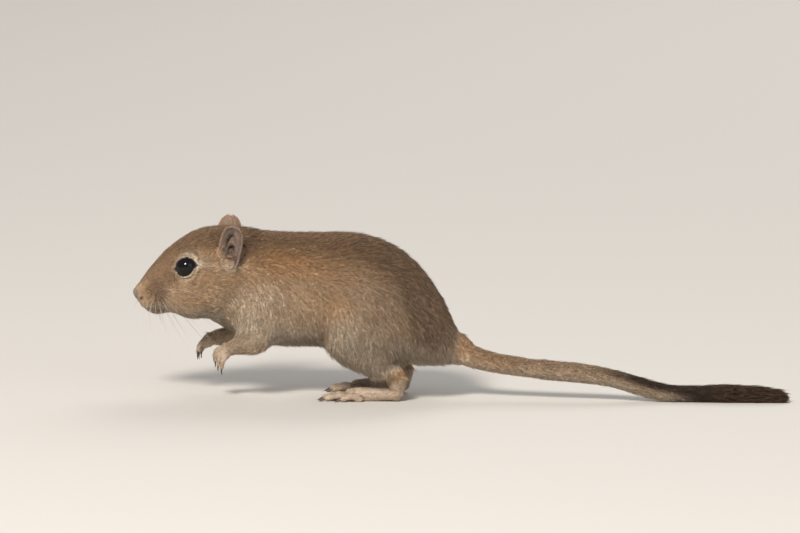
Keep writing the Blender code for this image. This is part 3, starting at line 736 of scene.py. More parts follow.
def coat_depth(points, kinds, edges, rounds):
    """How far the skin lies under the coat's surface."""
    depth = np.array([part[1] for part in PARTS.values()])[kinds]
    beside = folded(points)
    muzzle = rise(points[:, 0], -117.0, -90.0)
    depth = np.where(is_part(kinds, "head", "lower_jaw"), 0.2 + 0.7 * muzzle, depth)
    depth = spread(depth, edges, rounds)[:, 0]
    depth = depth * (1 - 0.8 * rise(points[:, 0], 106.0, 117.5))
    for side in SIDES.values():
        depth = depth * rise(eye_opening(points, side), 0.9, 2.6)
    return depth * (1 - 0.6 * spot(beside, (-114.5, 0.0, 33.0), (3.0, 4.0, 3.5)))


def keep_largest(obj):
    """Drops what isn't joined to the object's largest body."""
    mesh = obj.data
    edges = read_edges(mesh)
    label = np.arange(len(mesh.vertices))
    while True:
        lowest = label.copy()
        np.minimum.at(lowest, edges[:, 0], label[edges[:, 1]])
        np.minimum.at(lowest, edges[:, 1], label[edges[:, 0]])
        lowest = lowest[lowest]
        if (lowest == label).all():
            break
        label = lowest
    values, counts = np.unique(label, return_counts=True)
    if len(values) > 1:
        bm = bmesh.new()
        bm.from_mesh(mesh)
        bm.verts.ensure_lookup_table()
        loose = np.nonzero(label != values[counts.argmax()])[0]
        bmesh.ops.delete(bm, geom=[bm.verts[i] for i in loose], context="VERTS")
        bm.to_mesh(mesh)
        bm.free()
    return obj


def make_skin(tree, kind_of):
    """One smooth skin over all the flesh, laid under the coat, with its lids, nostrils, mouth and ears."""
    shapes = [node_shape(name) for name in FLESH if not name.startswith(("ear", "hind_foot", "forepaw"))]
    for name, side in SIDES.items():
        centre, radius = eye_place(side)
        shapes.append(ball(centre, (radius + 0.45,) * 3))
        shapes += ear_shapes(side) + hind_foot_shapes(side) + forepaw_shapes(name)
    skin = merged("skin", shapes)
    grow = skin.modifiers.new("grow", "REMESH")
    grow.mode = "VOXEL"
    grow.voxel_size = SKIN_VOXEL * MM
    settle(skin)

    points = read_points(skin.data)
    kinds = kinds_at(points, tree, kind_of)
    freedom = np.array([part[0] for part in PARTS.values()])[kinds]
    freedom = np.where(points[:, 0] < -108, freedom * 0.6, freedom)
    edges = read_edges(skin.data)
    freedom = spread(freedom, edges, 4)[:, 0]
    group = skin.vertex_groups.new(name="freedom")
    for step in range(21):
        share = step / 20
        chosen = np.nonzero(np.round(freedom * 20) == step)[0]
        group.add(chosen.tolist(), share, "REPLACE")
    soften = skin.modifiers.new("soften", "SMOOTH")
    soften.factor, soften.iterations, soften.vertex_group = 0.5, SKIN_SMOOTHING, "freedom"
    settle(skin)
    skin.vertex_groups.clear()

    points, normals = read_points(skin.data), read_normals(skin.data)
    own_shape = is_part(kinds, "ear", "forepaw", "hind_foot")
    loose = spread(~own_shape, edges, 6)
    points = points + (fitted(points, normals, tree, edges) - points) * loose
    points = points - normals * coat_depth(points, kinds, edges, 40)[:, None]
    points = shape_lids(points)
    write_points(skin.data, points)
    normals = read_normals(skin.data)
    points = shape_ears(shape_face(points, normals), normals)
    write_points(skin.data, points)
    thin = skin.modifiers.new("thin", "DECIMATE")
    thin.ratio = SKIN_TRIANGLES / (2 * len(skin.data.polygons))
    thin.use_collapse_triangulate = True
    settle(skin)
    keep_largest(skin)
    skin.data.polygons.foreach_set("use_smooth", [True] * len(skin.data.polygons))
    return skin


def coat_pieces(points, kinds):
    """Number in COATS of the piece that covers each point."""
    names = list(COATS)
    head = is_part(kinds, "nose", "head", "lower_jaw")
    left = points[:, 1] < 0
    piece = np.zeros(len(points), int)
    piece[head & left] = names.index("cheek_left")
    piece[head & ~left] = names.index("cheek_right")
    piece[head & (points[:, 0] < MUZZLE_END)] = names.index("muzzle")
    for part, coat in (("neck", "neck"), ("chest", "chest"), ("upper_arm", "chest"), ("rump", "rump"),
                       ("forearm", "forelimbs"), ("forepaw", "forelimbs"), ("hind_foot", "hind_feet"),
                       ("ear", "ears"), ("tail_1", "tail"), ("tail_2", "tail"), ("tail_3", "tail"),
                       ("tail_4", "brush")):
        piece[kinds == part_number(part)] = names.index(coat)
    for parts, coat in ((("belly",), "belly"), (("thigh", "shank"), "thigh")):
        chosen = is_part(kinds, *parts)
        piece[chosen & left] = names.index(f"{coat}_left")
        piece[chosen & ~left] = names.index(f"{coat}_right")
    return piece


def tangent(vectors, normals):
    """Vectors laid along the skin, at unit length."""
    flat = vectors - normals * (vectors * normals).sum(1)[:, None]
    return flat / np.maximum(np.linalg.norm(flat, axis=1), 1e-6)[:, None]


def lie_of_hair(points, normals, kinds, edges):
    """The way the hair lies at each point of the skin: level along the back, and steeper down the flanks."""
    lie = np.array([part[2] or (0.0, 0.0, 0.0) for part in PARTS.values()])[kinds]
    slope = math.radians(78) * rise(-points[:, 2], -56.0, -20.0)
    down = np.stack([np.cos(slope), np.zeros(len(points)), -np.sin(slope)], 1)
    lie = np.where(is_part(kinds, "neck", "chest", "belly", "rump", "thigh")[:, None], down, lie)
    tail_root = (is_part(kinds, "tail_1") * rise(-points[:, 0], -9.0, 2.0))[:, None]
    lie = lie * (1 - tail_root) + tail_root * [0.72, 0.0, -0.7]
    beside = folded(points)
    side = np.sign(points[:, 1])[:, None]
    lie = lie + 1.2 * spot(beside, EAR_FRONT, (3.5, 4.0, 6.0))[:, None] * np.array([-0.5, 0.0, 1.0])
    lie = lie + 1.5 * spot(beside, LIP, (4.5, 4.0, 2.6))[:, None] * np.array([-0.2, 0.0, -1.0])
    lie = lie + 0.5 * spot(beside, (-104.0, 5.0, 38.0), (7.0, 5.0, 5.0))[:, None] * (side * [0, 0.6, 0])
    lie = spread(lie, edges, 60)
    lie = tangent(lie, normals)
    for _ in range(3):
        lie = tangent(spread(lie, edges, 8), normals)
    return lie


def hair_lengths(points, kinds, edges):
    """How long the hair is at each point: shortest on the face and feet, and longest on the brush."""
    length = by_part({name: values[0] for name, values in HAIR.items()}, kinds)
    beside = folded(points)
    on_head = 1.1 + 2.6 * rise(points[:, 0], -116.0, -84.0)
    length = np.where(is_part(kinds, "head", "lower_jaw"), on_head, length)
    length = length * (1 - 0.55 * rise(-points[:, 2], -3.0, 1.0) * (points[:, 0] < 60))
    length = spread(length, edges, 30)[:, 0]
    length = length + 1.6 * spot(beside, EAR_FRONT, (2.6, 3.0, 5.0))
    length = length + 1.5 * spot(beside, LIP, (4.5, 4.0, 2.0))
    length = np.minimum(length, np.maximum(119.0 - points[:, 0], 0.9) * 0.9)
    length = length * (1 - 0.35 * spot(beside, (-2.0, 0.0, 24.0), (7.0, 12.0, 9.0)))
    for side in SIDES.values():
        place = eye_opening(points, side)
        length = length * (0.35 + 0.65 * rise(place, 1.0, 2.2))
    return length


def coat_cover(points, normals):
    """Share of the full number of tufts at each point: none on the eyes, nose pad, ear hollows and soles."""
    cover = np.ones(len(points))
    for side in SIDES.values():
        cover *= rise(eye_opening(points, side), 1.06, 1.2)
        cover *= 1 - 0.93 * concha(points, normals, side)
    beside = folded(points)
    cover *= 1 - rise(spot(beside, NOSE_PAD, (2.5, 2.4, 2.3)), 0.3, 0.55)
    sole = rise(-normals[:, 2], 0.3, 0.8) * rise(-points[:, 2], -2.2, -1.0)
    cover *= 1 - sole * (points[:, 0] < 0)
    cover *= 1 - 0.7 * rise(-normals[:, 2], 0.5, 0.9) * rise(-points[:, 2], -1.0, 0.0) * (points[:, 0] > 60)
    return cover


def markings_and_painted_shade(points, normals, kinds, edges):
    """How pale, rufous, dark, black, grey and bare the coat and skin are, the dark with painted shade in it.
    """
    beside = folded(points)
    x, z = points[:, 0], points[:, 2]
    under, upper = -normals[:, 2], normals[:, 2]
    trunk = is_part(kinds, "neck", "chest", "belly", "rump", "thigh", "upper_arm")
    head = is_part(kinds, "head", "lower_jaw", "nose")
    tail = is_part(kinds, "tail_1", "tail_2", "tail_3", "tail_4")
    feet = is_part(kinds, "forepaw", "hind_foot")

    pale = spots(beside, "pale")
    pale += trunk * (0.8 * rise(under, 0.25, 0.85) + 0.3 * rise(-z, -47.0, -38.0))
    pale += trunk * 0.35 * rise(-z, -31.0, -18.0) + tail * 0.7 * rise(under, -0.3, 0.6)
    pale += head * (0.45 * rise(-z, -34.0, -30.5) + 0.2 * rise(-z, -46.0, -38.0))
    pale += 0.7 * feet + 0.35 * is_part(kinds, "forearm")

    rufous = spots(beside, "rufous")

    dark = spots(beside, "dark")
    dark += trunk * (0.85 * rise(upper, 0.4, 0.9) + 0.45 * rise(z, 45.0, 57.0))
    # painted shade on the rear of the rump, on the faces turned away from the light
    dark += trunk * 1.5 * rise(x, -27.0, -12.0) * rise(normals[:, 0], 0.15, 0.6) * rise(z, 16.0, 30.0)
    dark += trunk * 0.3 * rise(x, -36.0, -26.0) * rise(z, 16.0, 30.0)
    dark += head * (0.6 * rise(upper, 0.3, 0.8) + 0.35 * rise(z, 50.0, 59.0))
    dark += head * 0.55 * rise(-x, 96.0, 106.0) * rise(z, 38.0, 43.0)
    dark += head * 0.45 * spot(beside, (-101.0, 5.0, 29.5), (8.0, 6.0, 1.6))
    dark += tail * 0.5 * rise(upper, 0.0, 0.8)
    brush = rise(x, 44.0, 66.0) * rise(upper, -0.1, 0.6) + rise(x, 72.0, 86.0)

    grey = head * 0.8 * rise(-z, -35.0, -29.0) + tail * 0.5 * rise(x, 10.0, 30.0)
    grey += trunk * (0.6 * rise(under, 0.3, 0.9) + 0.6 * rise(-z, -29.0, -20.0))
    grey += trunk * 0.35 * spot(beside, (-30.0, 16.0, 36.0), (14.0, 12.0, 12.0))
    grey += 0.25 * is_part(kinds, "forearm", "upper_arm")

    bare = rise(spot(beside, NOSE_PAD, (2.7, 2.6, 2.5)), 0.28, 0.45)
    bare += 0.35 * feet + 0.75 * is_part(kinds, "ear")
    for side in SIDES.values():
        place = eye_opening(points, side)
        pale += 0.95 * rise(place, 1.05, 1.16) * (1 - rise(place, 1.3, 1.55))
        bare += concha(points, normals, side)
    softened = spread(np.stack([pale, rufous, dark, np.clip(brush, 0, 1), grey, bare], 1), edges, 6)
    return np.clip(softened, 0, 1)


def eye_corners(points):
    """1 at the dark front and rear corners of each eye."""
    dark = np.zeros(len(points))
    for side in SIDES.values():
        forward, up, outward = eye_coordinates(points, side)
        level = up + EYE_DROOP * forward
        near = np.exp(-(((np.abs(forward) - 1.06) / 0.17) ** 2) - ((level + 0.03) / 0.11) ** 2)
        dark += near * (outward > 0)
    return dark


def skin_details(points, normals, kinds, edges):
    """Per point: fold depth for painted shade, pinkness, and dark lid rims with painted shade in the ear
    canals.
    """
    smooth = spread(points, edges, 14)
    painted_fold_shade = np.clip(((smooth - points) * normals).sum(1) / 0.16, 0, 1)
    feet = is_part(kinds, "forepaw", "hind_foot")
    pink = feet + 0.2 * rise(spot(folded(points), NOSE_PAD, (2.2, 2.5, 2.1)), 0.35, 0.6)
    lid_rims_and_canal_shade = eye_corners(points)
    for side in SIDES.values():
        place = eye_opening(points, side)
        lid_rims_and_canal_shade += 1 - rise(place, 1.07, 1.15)
        # painted shade in the deep ear canal, darkened like the lid rims
        canal = np.array(ear_frame(side) @ Vector(EAR_CANAL))
        slot = rise(spot(points, canal, (1.8, 6.0, 4.8)), 0.25, 0.8)
        lid_rims_and_canal_shade += 0.85 * slot * concha(points, normals, side)
    return np.clip(np.stack([painted_fold_shade, pink, lid_rims_and_canal_shade], 1), 0, 1)


def unwrap(points, faces, piece, upright):
    """A place in the unit square for each corner of a piece's faces, unrolled round its middle line."""
    corner_points = points[faces[piece]]
    along = corner_points[..., 2 if upright else 0]
    across = corner_points[..., 1]
    height = corner_points[..., 0 if upright else 2]
    low, high = along.min(), along.max()
    bins = np.clip(((along - low) / (high - low) * UNWRAP_BINS).astype(int), 0, UNWRAP_BINS - 1)
    count = np.maximum(np.bincount(bins.ravel(), minlength=UNWRAP_BINS), 1)
    middle = [np.bincount(bins.ravel(), weights=value.ravel(), minlength=UNWRAP_BINS) / count
              for value in (across, height)]
    places = low + (np.arange(UNWRAP_BINS) + 0.5) / UNWRAP_BINS * (high - low)
    off_across = across - np.interp(along, places, middle[0])
    off_height = height - np.interp(along, places, middle[1])
    angle = np.arctan2(off_across, off_height)
    crosses = np.ptp(angle, axis=1) > math.pi
    angle = np.where(crosses[:, None] & (angle < 0), angle + 2 * math.pi, angle)
    start, end = angle.min(), angle.max()
    return np.stack([(along - low) / (high - low), (angle - start) / (end - start)], -1) * 0.98 + 0.01


def store_values(mesh, name, kind, domain, values):
    """Adds an attribute to a mesh, one value or row of values to each point, face or corner."""
    layer = mesh.attributes.new(name, kind, domain)
    key = "value" if kind in ("FLOAT", "INT") else "vector"
    form = np.int32 if kind == "INT" else np.float32
    layer.data.foreach_set(key, np.ascontiguousarray(values, form).ravel())


def describe_skin(skin, tree, kind_of):
    """Stores on the skin what its coat and its materials need to know, and returns its unwrap."""
    mesh = skin.data
    points, normals, edges = read_points(mesh), read_normals(mesh), read_edges(mesh)
    kinds = kinds_at(points, tree, kind_of)
    faces = np.empty(len(mesh.loops), np.int32)
    mesh.loops.foreach_get("vertex_index", faces)
    faces = faces.reshape(-1, 3)
    face_kinds = kinds[faces[:, 0]]
    pieces = coat_pieces(points[faces].mean(1), face_kinds)
    store_values(mesh, "piece", "INT", "FACE", pieces)
    root_place = np.zeros((len(faces), 3, 2))
    atlas = np.zeros((len(faces), 3, 2))
    for number, name in enumerate(COATS):
        chosen = pieces == number
        root_place[chosen] = unwrap(points, faces, chosen, name == "ears")
        cell = np.array([number % ATLAS_ROW, number // ATLAS_ROW]) / ATLAS_ROW
        atlas[chosen] = cell + root_place[chosen] * (0.98 / ATLAS_ROW) + 0.01 / ATLAS_ROW
    store_values(mesh, "root_place", "FLOAT2", "CORNER", root_place)
    lie = lie_of_hair(points, normals, kinds, edges)
    store_values(mesh, "lie", "FLOAT_VECTOR", "POINT", lie)
    store_values(mesh, "hair_length", "FLOAT", "POINT", hair_lengths(points, kinds, edges) * MM)
    lift = spread(by_part({name: values[1] for name, values in HAIR.items()}, kinds), edges, 30)[:, 0]
    store_values(mesh, "lift", "FLOAT", "POINT", np.radians(lift))
    store_values(mesh, "cover", "FLOAT", "POINT", coat_cover(points, normals))
    marks = markings_and_painted_shade(points, normals, kinds, edges)
    store_values(mesh, "marks", "FLOAT_VECTOR", "POINT", marks[:, :3])
    store_values(mesh, "tones", "FLOAT_VECTOR", "POINT", marks[:, 3:])
    store_values(mesh, "details", "FLOAT_VECTOR", "POINT", skin_details(points, normals, kinds, edges))
    return atlas


def node(tree, kind, values=None, **settings):
    """A new node with its settings, and its inputs set to or linked with the given values."""
    made = tree.nodes.new(kind)
    for key, value in settings.items():
        setattr(made, key, value)
    for key, value in (values or {}).items():
        socket = made.inputs[key]
        if isinstance(value, bpy.types.NodeSocket):
            tree.links.new(value, socket)
        else:
            socket.default_value = value
    return made


def calc(tree, operation, a, b=0.0, c=0.0):
    return node(tree, "ShaderNodeMath", {0: a, 1: b, 2: c}, operation=operation).outputs[0]


def combine(tree, operation, a, b=(0.0, 0.0, 0.0)):
    made = node(tree, "ShaderNodeVectorMath", {0: a, 1: b}, operation=operation)
    return made.outputs["Value" if operation in ("LENGTH", "DOT_PRODUCT") else "Vector"]


def scaled(tree, vector, share):
    return node(tree, "ShaderNodeVectorMath", {0: vector, "Scale": share}, operation="SCALE").outputs[0]


def named(tree, name, kind="FLOAT"):
    return node(tree, "GeometryNodeInputNamedAttribute", {"Name": name}, data_type=kind).outputs["Attribute"]


def random_number(tree, low, high, seed):
    return node(tree, "FunctionNodeRandomValue", {2: low, 3: high, "Seed": seed},
                data_type="FLOAT").outputs[1]


def tuft_mesh(name, form, seed):
    """A small tuft of unit length along +X: tapered three-sided hairs that part a little towards the tips."""
    chance = np.random.default_rng(seed)
    points, faces, along, hair = [], [], [], []
    bands = form["bands"]
    for number in range(form["hairs"]):
        place = (number + 0.5) / form["hairs"] * 2 - 1
        root = np.array([chance.uniform(-0.12, 0.12), form["roots"] * place, chance.uniform(-0.02, 0.0)])
        tip_side = form["tips"] * (place + chance.uniform(-0.9, 0.9))
        length = chance.uniform(0.72, 1.0)
        rise_up = chance.uniform(0.0, 0.06)
        width = form["width"] * chance.uniform(0.75, 1.15)
        first = len(points)
        for band in range(bands):
            t = band / bands
            girth = 0.5 * width * (0.6 + 0.4 * min(1, t * 3)) * (1 - 0.35 * t)
            centre = root + [length * t, (tip_side - root[1]) * t**1.5, rise_up * t - form["bend"] * t * t]
            for corner in range(3):
                angle = math.radians(90 + 120 * corner)
                points.append(centre + [0, girth * math.cos(angle), 0.8 * girth * math.sin(angle)])
                along.append(t)
        points.append(root + [length, tip_side - root[1], rise_up - form["bend"]])
        along.append(1.0)
        hair += [(number + 0.5) / form["hairs"]] * (3 * bands + 1)
        faces.append((first, first + 2, first + 1))
        for band in range(bands - 1):
            low = first + 3 * band
            for i in range(3):
                j = (i + 1) % 3
                faces.append((low + i, low + j, low + 3 + j, low + 3 + i))
        top, last = first + 3 * (bands - 1), first + 3 * bands
        faces += [(top + i, top + (i + 1) % 3, last) for i in range(3)]
    mesh = bpy.data.meshes.new(name)
    mesh.from_pydata([tuple(point) for point in points], [], faces)
    mesh.polygons.foreach_set("use_smooth", [True] * len(mesh.polygons))
    store_values(mesh, "along", "FLOAT", "POINT", along)
    store_values(mesh, "hair", "FLOAT", "POINT", hair)
    return mesh


def tuft_family(name):
    """A collection of the tufts of a family, which the coat's tree picks from."""
    family = bpy.data.collections.new(f"tufts_{name}")
    for kind in range(TUFT_KINDS):
        mesh = tuft_mesh(f"tuft_{name}_{kind}", TUFTS[name], 100 * list(TUFTS).index(name) + kind)
        family.objects.link(bpy.data.objects.new(mesh.name, mesh))
    return family


def coat_tree():
    """A Geometry Nodes tree that grows one piece of the coat on the skin."""
    tree = bpy.data.node_groups.new("coat", "GeometryNodeTree")
    for name, kind in (("Skin", "Geometry"), ("Tufts", "Collection"), ("Piece", "Int"), ("Spacing", "Float"),
                       ("Swing", "Float"), ("Wave", "Float"), ("Seed", "Int"), ("Hair", "Material")):
        tree.interface.new_socket(name=name, in_out="INPUT", socket_type=f"NodeSocket{kind}")
    tree.interface.new_socket(name="Coat", in_out="OUTPUT", socket_type="NodeSocketGeometry")
    given = tree.nodes.new("NodeGroupInput").outputs
    ours = node(tree, "FunctionNodeCompare", {2: named(tree, "piece", "INT"), 3: given["Piece"]},
                data_type="INT", operation="EQUAL").outputs[0]
    apart = given["Spacing"]
    crowd = calc(tree, "DIVIDE", 1.6, calc(tree, "MULTIPLY", apart, apart))
    roots = node(tree, "GeometryNodeDistributePointsOnFaces",
                 {"Mesh": given["Skin"], "Selection": ours, "Distance Min": apart, "Density Max": crowd,
                  "Density Factor": named(tree, "cover"), "Seed": given["Seed"]}, distribute_method="POISSON")
    normal = roots.outputs["Normal"]
    place = tree.nodes.new("GeometryNodeInputPosition").outputs[0]
    slow_turn = node(tree, "ShaderNodeTexNoise", {"Vector": place, "Scale": given["Wave"], "Detail": 2.0})
    swing = calc(tree, "MULTIPLY", calc(tree, "SUBTRACT", slow_turn.outputs["Fac"], 0.5), 2.4)
    swing = calc(tree, "ADD", swing, random_number(tree, -1.0, 1.0, 3))
    swing = calc(tree, "MULTIPLY", swing, given["Swing"])
    lie = node(tree, "ShaderNodeVectorRotate", {"Vector": named(tree, "lie", "FLOAT_VECTOR"), "Axis": normal,
                                                "Angle": swing}, rotation_type="AXIS_ANGLE").outputs[0]
    lift = calc(tree, "MULTIPLY", named(tree, "lift"), random_number(tree, 0.5, 1.5, 5))
    lift = calc(tree, "TANGENT", lift)
    way = combine(tree, "NORMALIZE", combine(tree, "ADD", lie, scaled(tree, normal, lift)))
    turn = node(tree, "FunctionNodeAxesToRotation", {"Primary Axis": way, "Secondary Axis": normal},
                primary_axis="X", secondary_axis="Z").outputs[0]
    size = calc(tree, "MULTIPLY", named(tree, "hair_length"), random_number(tree, 0.72, 1.18, 7))
    size = node(tree, "ShaderNodeCombineXYZ", {0: size, 1: size, 2: size}).outputs[0]
    kinds = node(tree, "GeometryNodeCollectionInfo", {"Collection": given["Tufts"], "Separate Children": True,
                                                      "Reset Children": True}).outputs[0]
    pick = node(tree, "FunctionNodeRandomValue", {4: 0, 5: TUFT_KINDS - 1, "Seed": 9},
                data_type="INT").outputs[2]
    tufts = node(tree, "GeometryNodeInstanceOnPoints",
                 {"Points": roots.outputs["Points"], "Instance": kinds, "Pick Instance": True,
                  "Instance Index": pick, "Rotation": turn, "Scale": size}).outputs[0]
    tufts = node(tree, "GeometryNodeStoreNamedAttribute",
                 {"Geometry": tufts, "Name": "chance", "Value": random_number(tree, 0.0, 1.0, 11)},
                 data_type="FLOAT", domain="INSTANCE").outputs[0]
    hairs = node(tree, "GeometryNodeRealizeInstances", {"Geometry": tufts}).outputs[0]
    in_patch = node(tree, "ShaderNodeCombineXYZ",
                    {0: named(tree, "along"), 1: named(tree, "hair")}).outputs[0]
    in_patch = scaled(tree, combine(tree, "SUBTRACT", in_patch, (0.5, 0.5, 0.0)), TUFT_PATCH)
    patch = combine(tree, "ADD", named(tree, "root_place", "FLOAT_VECTOR"), in_patch)
    hairs = node(tree, "GeometryNodeStoreNamedAttribute",
                 {"Geometry": hairs, "Name": "OFBake", "Value": patch},
                 data_type="FLOAT2", domain="CORNER").outputs[0]
    for name in ("root_place", "lie", "hair_length", "lift", "cover", "piece", "details"):
        hairs = node(tree, "GeometryNodeRemoveAttribute", {"Geometry": hairs, "Name": name}).outputs[0]
    hairs = node(tree, "GeometryNodeSetMaterial", {"Geometry": hairs, "Material": given["Hair"]}).outputs[0]
    result = tree.nodes.new("NodeGroupOutput")
    tree.links.new(hairs, result.inputs[0])
    return tree


def grow_coat(skin, tree, name, family, material, number):
    """One piece of the coat as a plain mesh."""
    _, spacing, swing = COATS[name]
    grower = skin.modifiers.new("coat", "NODES")
    grower.node_group = tree
    sockets = {item.name: item.identifier for item in tree.interface.items_tree if item.in_out == "INPUT"}
    given = {"Tufts": family, "Piece": number, "Spacing": spacing * MM, "Hair": material, "Seed": 20 + number,
             "Swing": math.radians(swing), "Wave": 1 / (WAVE_LENGTH * MM)}
    for key, value in given.items():
        grower[sockets[key]] = value
    bpy.context.view_layer.update()
    graph = bpy.context.evaluated_depsgraph_get()
    mesh = bpy.data.meshes.new_from_object(skin.evaluated_get(graph))
    skin.modifiers.clear()
    mesh.name = f"coat_{name}"
    points = read_points(mesh)
    points[:, 2] = np.maximum(points[:, 2], FLOOR_CLEARANCE)
    write_points(mesh, points)
    return linked(f"coat_{name}", mesh)


def mixed(tree, share, a, b):
    """A colour that goes from a to b as the share goes from 0 to 1."""
    a, b = ((*colour, 1.0) if isinstance(colour, tuple) else colour for colour in (a, b))
    return node(tree, "ShaderNodeMix", {0: share, 6: a, 7: b}, data_type="RGBA").outputs[2]


def ramp(tree, value, low, high, to_low=0.0, to_high=1.0):
    return node(tree, "ShaderNodeMapRange", {0: value, 1: low, 2: high, 3: to_low, 4: to_high}).outputs[0]


def noise(tree, place, size, detail=3.0):
    """Noise whose features are about the given size in millimetres."""
    values = {"Vector": place, "Scale": 1 / (size * MM), "Detail": detail}
    return node(tree, "ShaderNodeTexNoise", values).outputs["Fac"]


def attribute(tree, name, output="Fac"):
    return node(tree, "ShaderNodeAttribute", attribute_name=name).outputs[output]


def object_place(tree):
    return tree.nodes.new("ShaderNodeTexCoord").outputs["Object"]


def jird_colours():
    """Markings and painted shade, shared by skin and coat: a colour, and how ticked with dark, bare and
    black.
    """
    tree = bpy.data.node_groups.new("jird colours", "ShaderNodeTree")
    for name in ("Marks", "Tones", "Place"):
        tree.interface.new_socket(name=name, in_out="INPUT", socket_type="NodeSocketVector")
    for name, kind in (("Colour", "Color"), ("Ticking", "Float"), ("Bare", "Float"), ("Black", "Float")):
        tree.interface.new_socket(name=name, in_out="OUTPUT", socket_type=f"NodeSocket{kind}")
    given = tree.nodes.new("NodeGroupInput").outputs
    pale, rufous, dark = node(tree, "ShaderNodeSeparateXYZ", {0: given["Marks"]}).outputs
    black, grey, bare = node(tree, "ShaderNodeSeparateXYZ", {0: given["Tones"]}).outputs
    patches = noise(tree, given["Place"], 7.0)
    flecks = noise(tree, given["Place"], 1.1, 2.0)
    uneven = ramp(tree, patches, 0.3, 0.7, 0.75, 1.25)
    colour = mixed(tree, calc(tree, "MULTIPLY", rufous, uneven), SAND, RUFOUS)
    colour = mixed(tree, calc(tree, "MULTIPLY", pale, uneven), colour, CREAM)
    colour = mixed(tree, calc(tree, "MULTIPLY", grey, 0.75), colour, ASHEN)
    # the dark marking, painted shade included, deepens the colour towards umber
    colour = mixed(tree, calc(tree, "MULTIPLY", dark, 0.62), colour, UMBER)
    colour = mixed(tree, black, colour, SOOT)
    lightness = ramp(tree, flecks, 0.3, 0.7, 0.82, 1.14)
    colour = scaled(tree, colour, lightness)
    ticking = calc(tree, "MULTIPLY", calc(tree, "MAXIMUM", dark, black), uneven)
    result = node(tree, "NodeGroupOutput")
    for socket, value in zip(result.inputs, (colour, ticking, bare, black)):
        tree.links.new(value, socket)
    return tree


def painted(name, roughness, specular=0.5):
    """A new material, with its tree and its shader."""
    made = bpy.data.materials.new(name)
    made.use_nodes = True
    shader = made.node_tree.nodes["Principled BSDF"]
    shader.inputs["Roughness"].default_value = roughness
    shader.inputs["Specular IOR Level"].default_value = specular
    return made, made.node_tree, shader


def marked_and_shaded(tree, colours):
    """The shared markings and painted shade placed in a material."""
    values = {"Marks": attribute(tree, "marks", "Vector"), "Tones": attribute(tree, "tones", "Vector"),
              "Place": object_place(tree)}
    group = tree.nodes.new("ShaderNodeGroup")
    group.node_tree = colours
    for key, value in values.items():
        tree.links.new(value, group.inputs[key])
    return group.outputs


def hair_material(colours):
    """Hair: slate at its root, the coat's colour along it, and a dark or pale tip."""
    made, tree, shader = painted("jird hair", 0.5, 0.25)
    colour, ticking, _, black = marked_and_shaded(tree, colours)
    along, hair, chance = (attribute(tree, name) for name in ("along", "hair", "chance"))
    own = calc(tree, "MULTIPLY_ADD", chance, 91.7, calc(tree, "MULTIPLY", hair, 17.3))
    first_chance = calc(tree, "FRACT", own)
    second_chance = calc(tree, "FRACT", calc(tree, "MULTIPLY", own, 5.3))
    colour = scaled(tree, colour, ramp(tree, second_chance, 0.0, 1.0, 0.55, 1.5))
    colour = mixed(tree, ramp(tree, along, 0.0, 0.5, 0.35, 1.0), SLATE, colour)
    dark_tip = calc(tree, "LESS_THAN", first_chance, ramp(tree, ticking, 0.0, 1.0, 0.10, 0.75))
    tip = ramp(tree, along, 0.35, 0.75)
    colour = mixed(tree, calc(tree, "MULTIPLY", dark_tip, tip), colour, UMBER)
    pale_tip = calc(tree, "GREATER_THAN", first_chance, ramp(tree, black, 0.0, 0.6, 0.86, 1.0))
    colour = mixed(tree, calc(tree, "MULTIPLY", calc(tree, "MULTIPLY", pale_tip, tip), 0.45), colour, CREAM)
    tree.links.new(colour, shader.inputs["Base Color"])
    return made


def skin_material(colours):
    """Skin: coat colours deepened under the hair, as undercoat and painted shade; pink, dusky or dark where
    bare.
    """
    made, tree, shader = painted("jird skin", 0.6, 0.3)
    colour, ticking, bare, _ = marked_and_shaded(tree, colours)
    painted_fold_shade, pink, rim = node(tree, "ShaderNodeSeparateXYZ", {0: attribute(tree, "details", "Vector")}).outputs
    place = object_place(tree)
    combed = combine(tree, "MULTIPLY", place, (0.3, 1.0, 1.0))
    strands = noise(tree, combed, 0.35, 2.0)
    # darker under the hair: its grey undercoat, and painted shade between the hairs
    under = scaled(tree, colour, ramp(tree, strands, 0.3, 0.7, 0.4, 0.85))
    under = mixed(tree, calc(tree, "MULTIPLY", ticking, 0.4), under, UMBER)
    mottled = noise(tree, place, 1.6)
    naked = mixed(tree, pink, DUSKY_SKIN, PINK_SKIN)
    naked = scaled(tree, naked, ramp(tree, mottled, 0.3, 0.7, 0.8, 1.15))
    colour = mixed(tree, bare, under, naked)
    # painted shade darkening the folds of the skin
    colour = mixed(tree, calc(tree, "MULTIPLY", painted_fold_shade, 0.75), colour, LID_RIM_AND_SHADE_DARK)
    # dark lid rims, and painted shade in the ear canals
    colour = mixed(tree, rim, colour, LID_RIM_AND_SHADE_DARK)
    tree.links.new(colour, shader.inputs["Base Color"])
    pores = noise(tree, place, 0.28, 2.0)
    height = mixed_value(tree, bare, strands, pores)
    bump = node(tree, "ShaderNodeBump", {"Strength": 0.35, "Distance": 0.15 * MM, "Height": height})
    tree.links.new(bump.outputs[0], shader.inputs["Normal"])
    return made


def mixed_value(tree, share, a, b):
    return node(tree, "ShaderNodeMix", {0: share, 2: a, 3: b}, data_type="FLOAT").outputs[0]


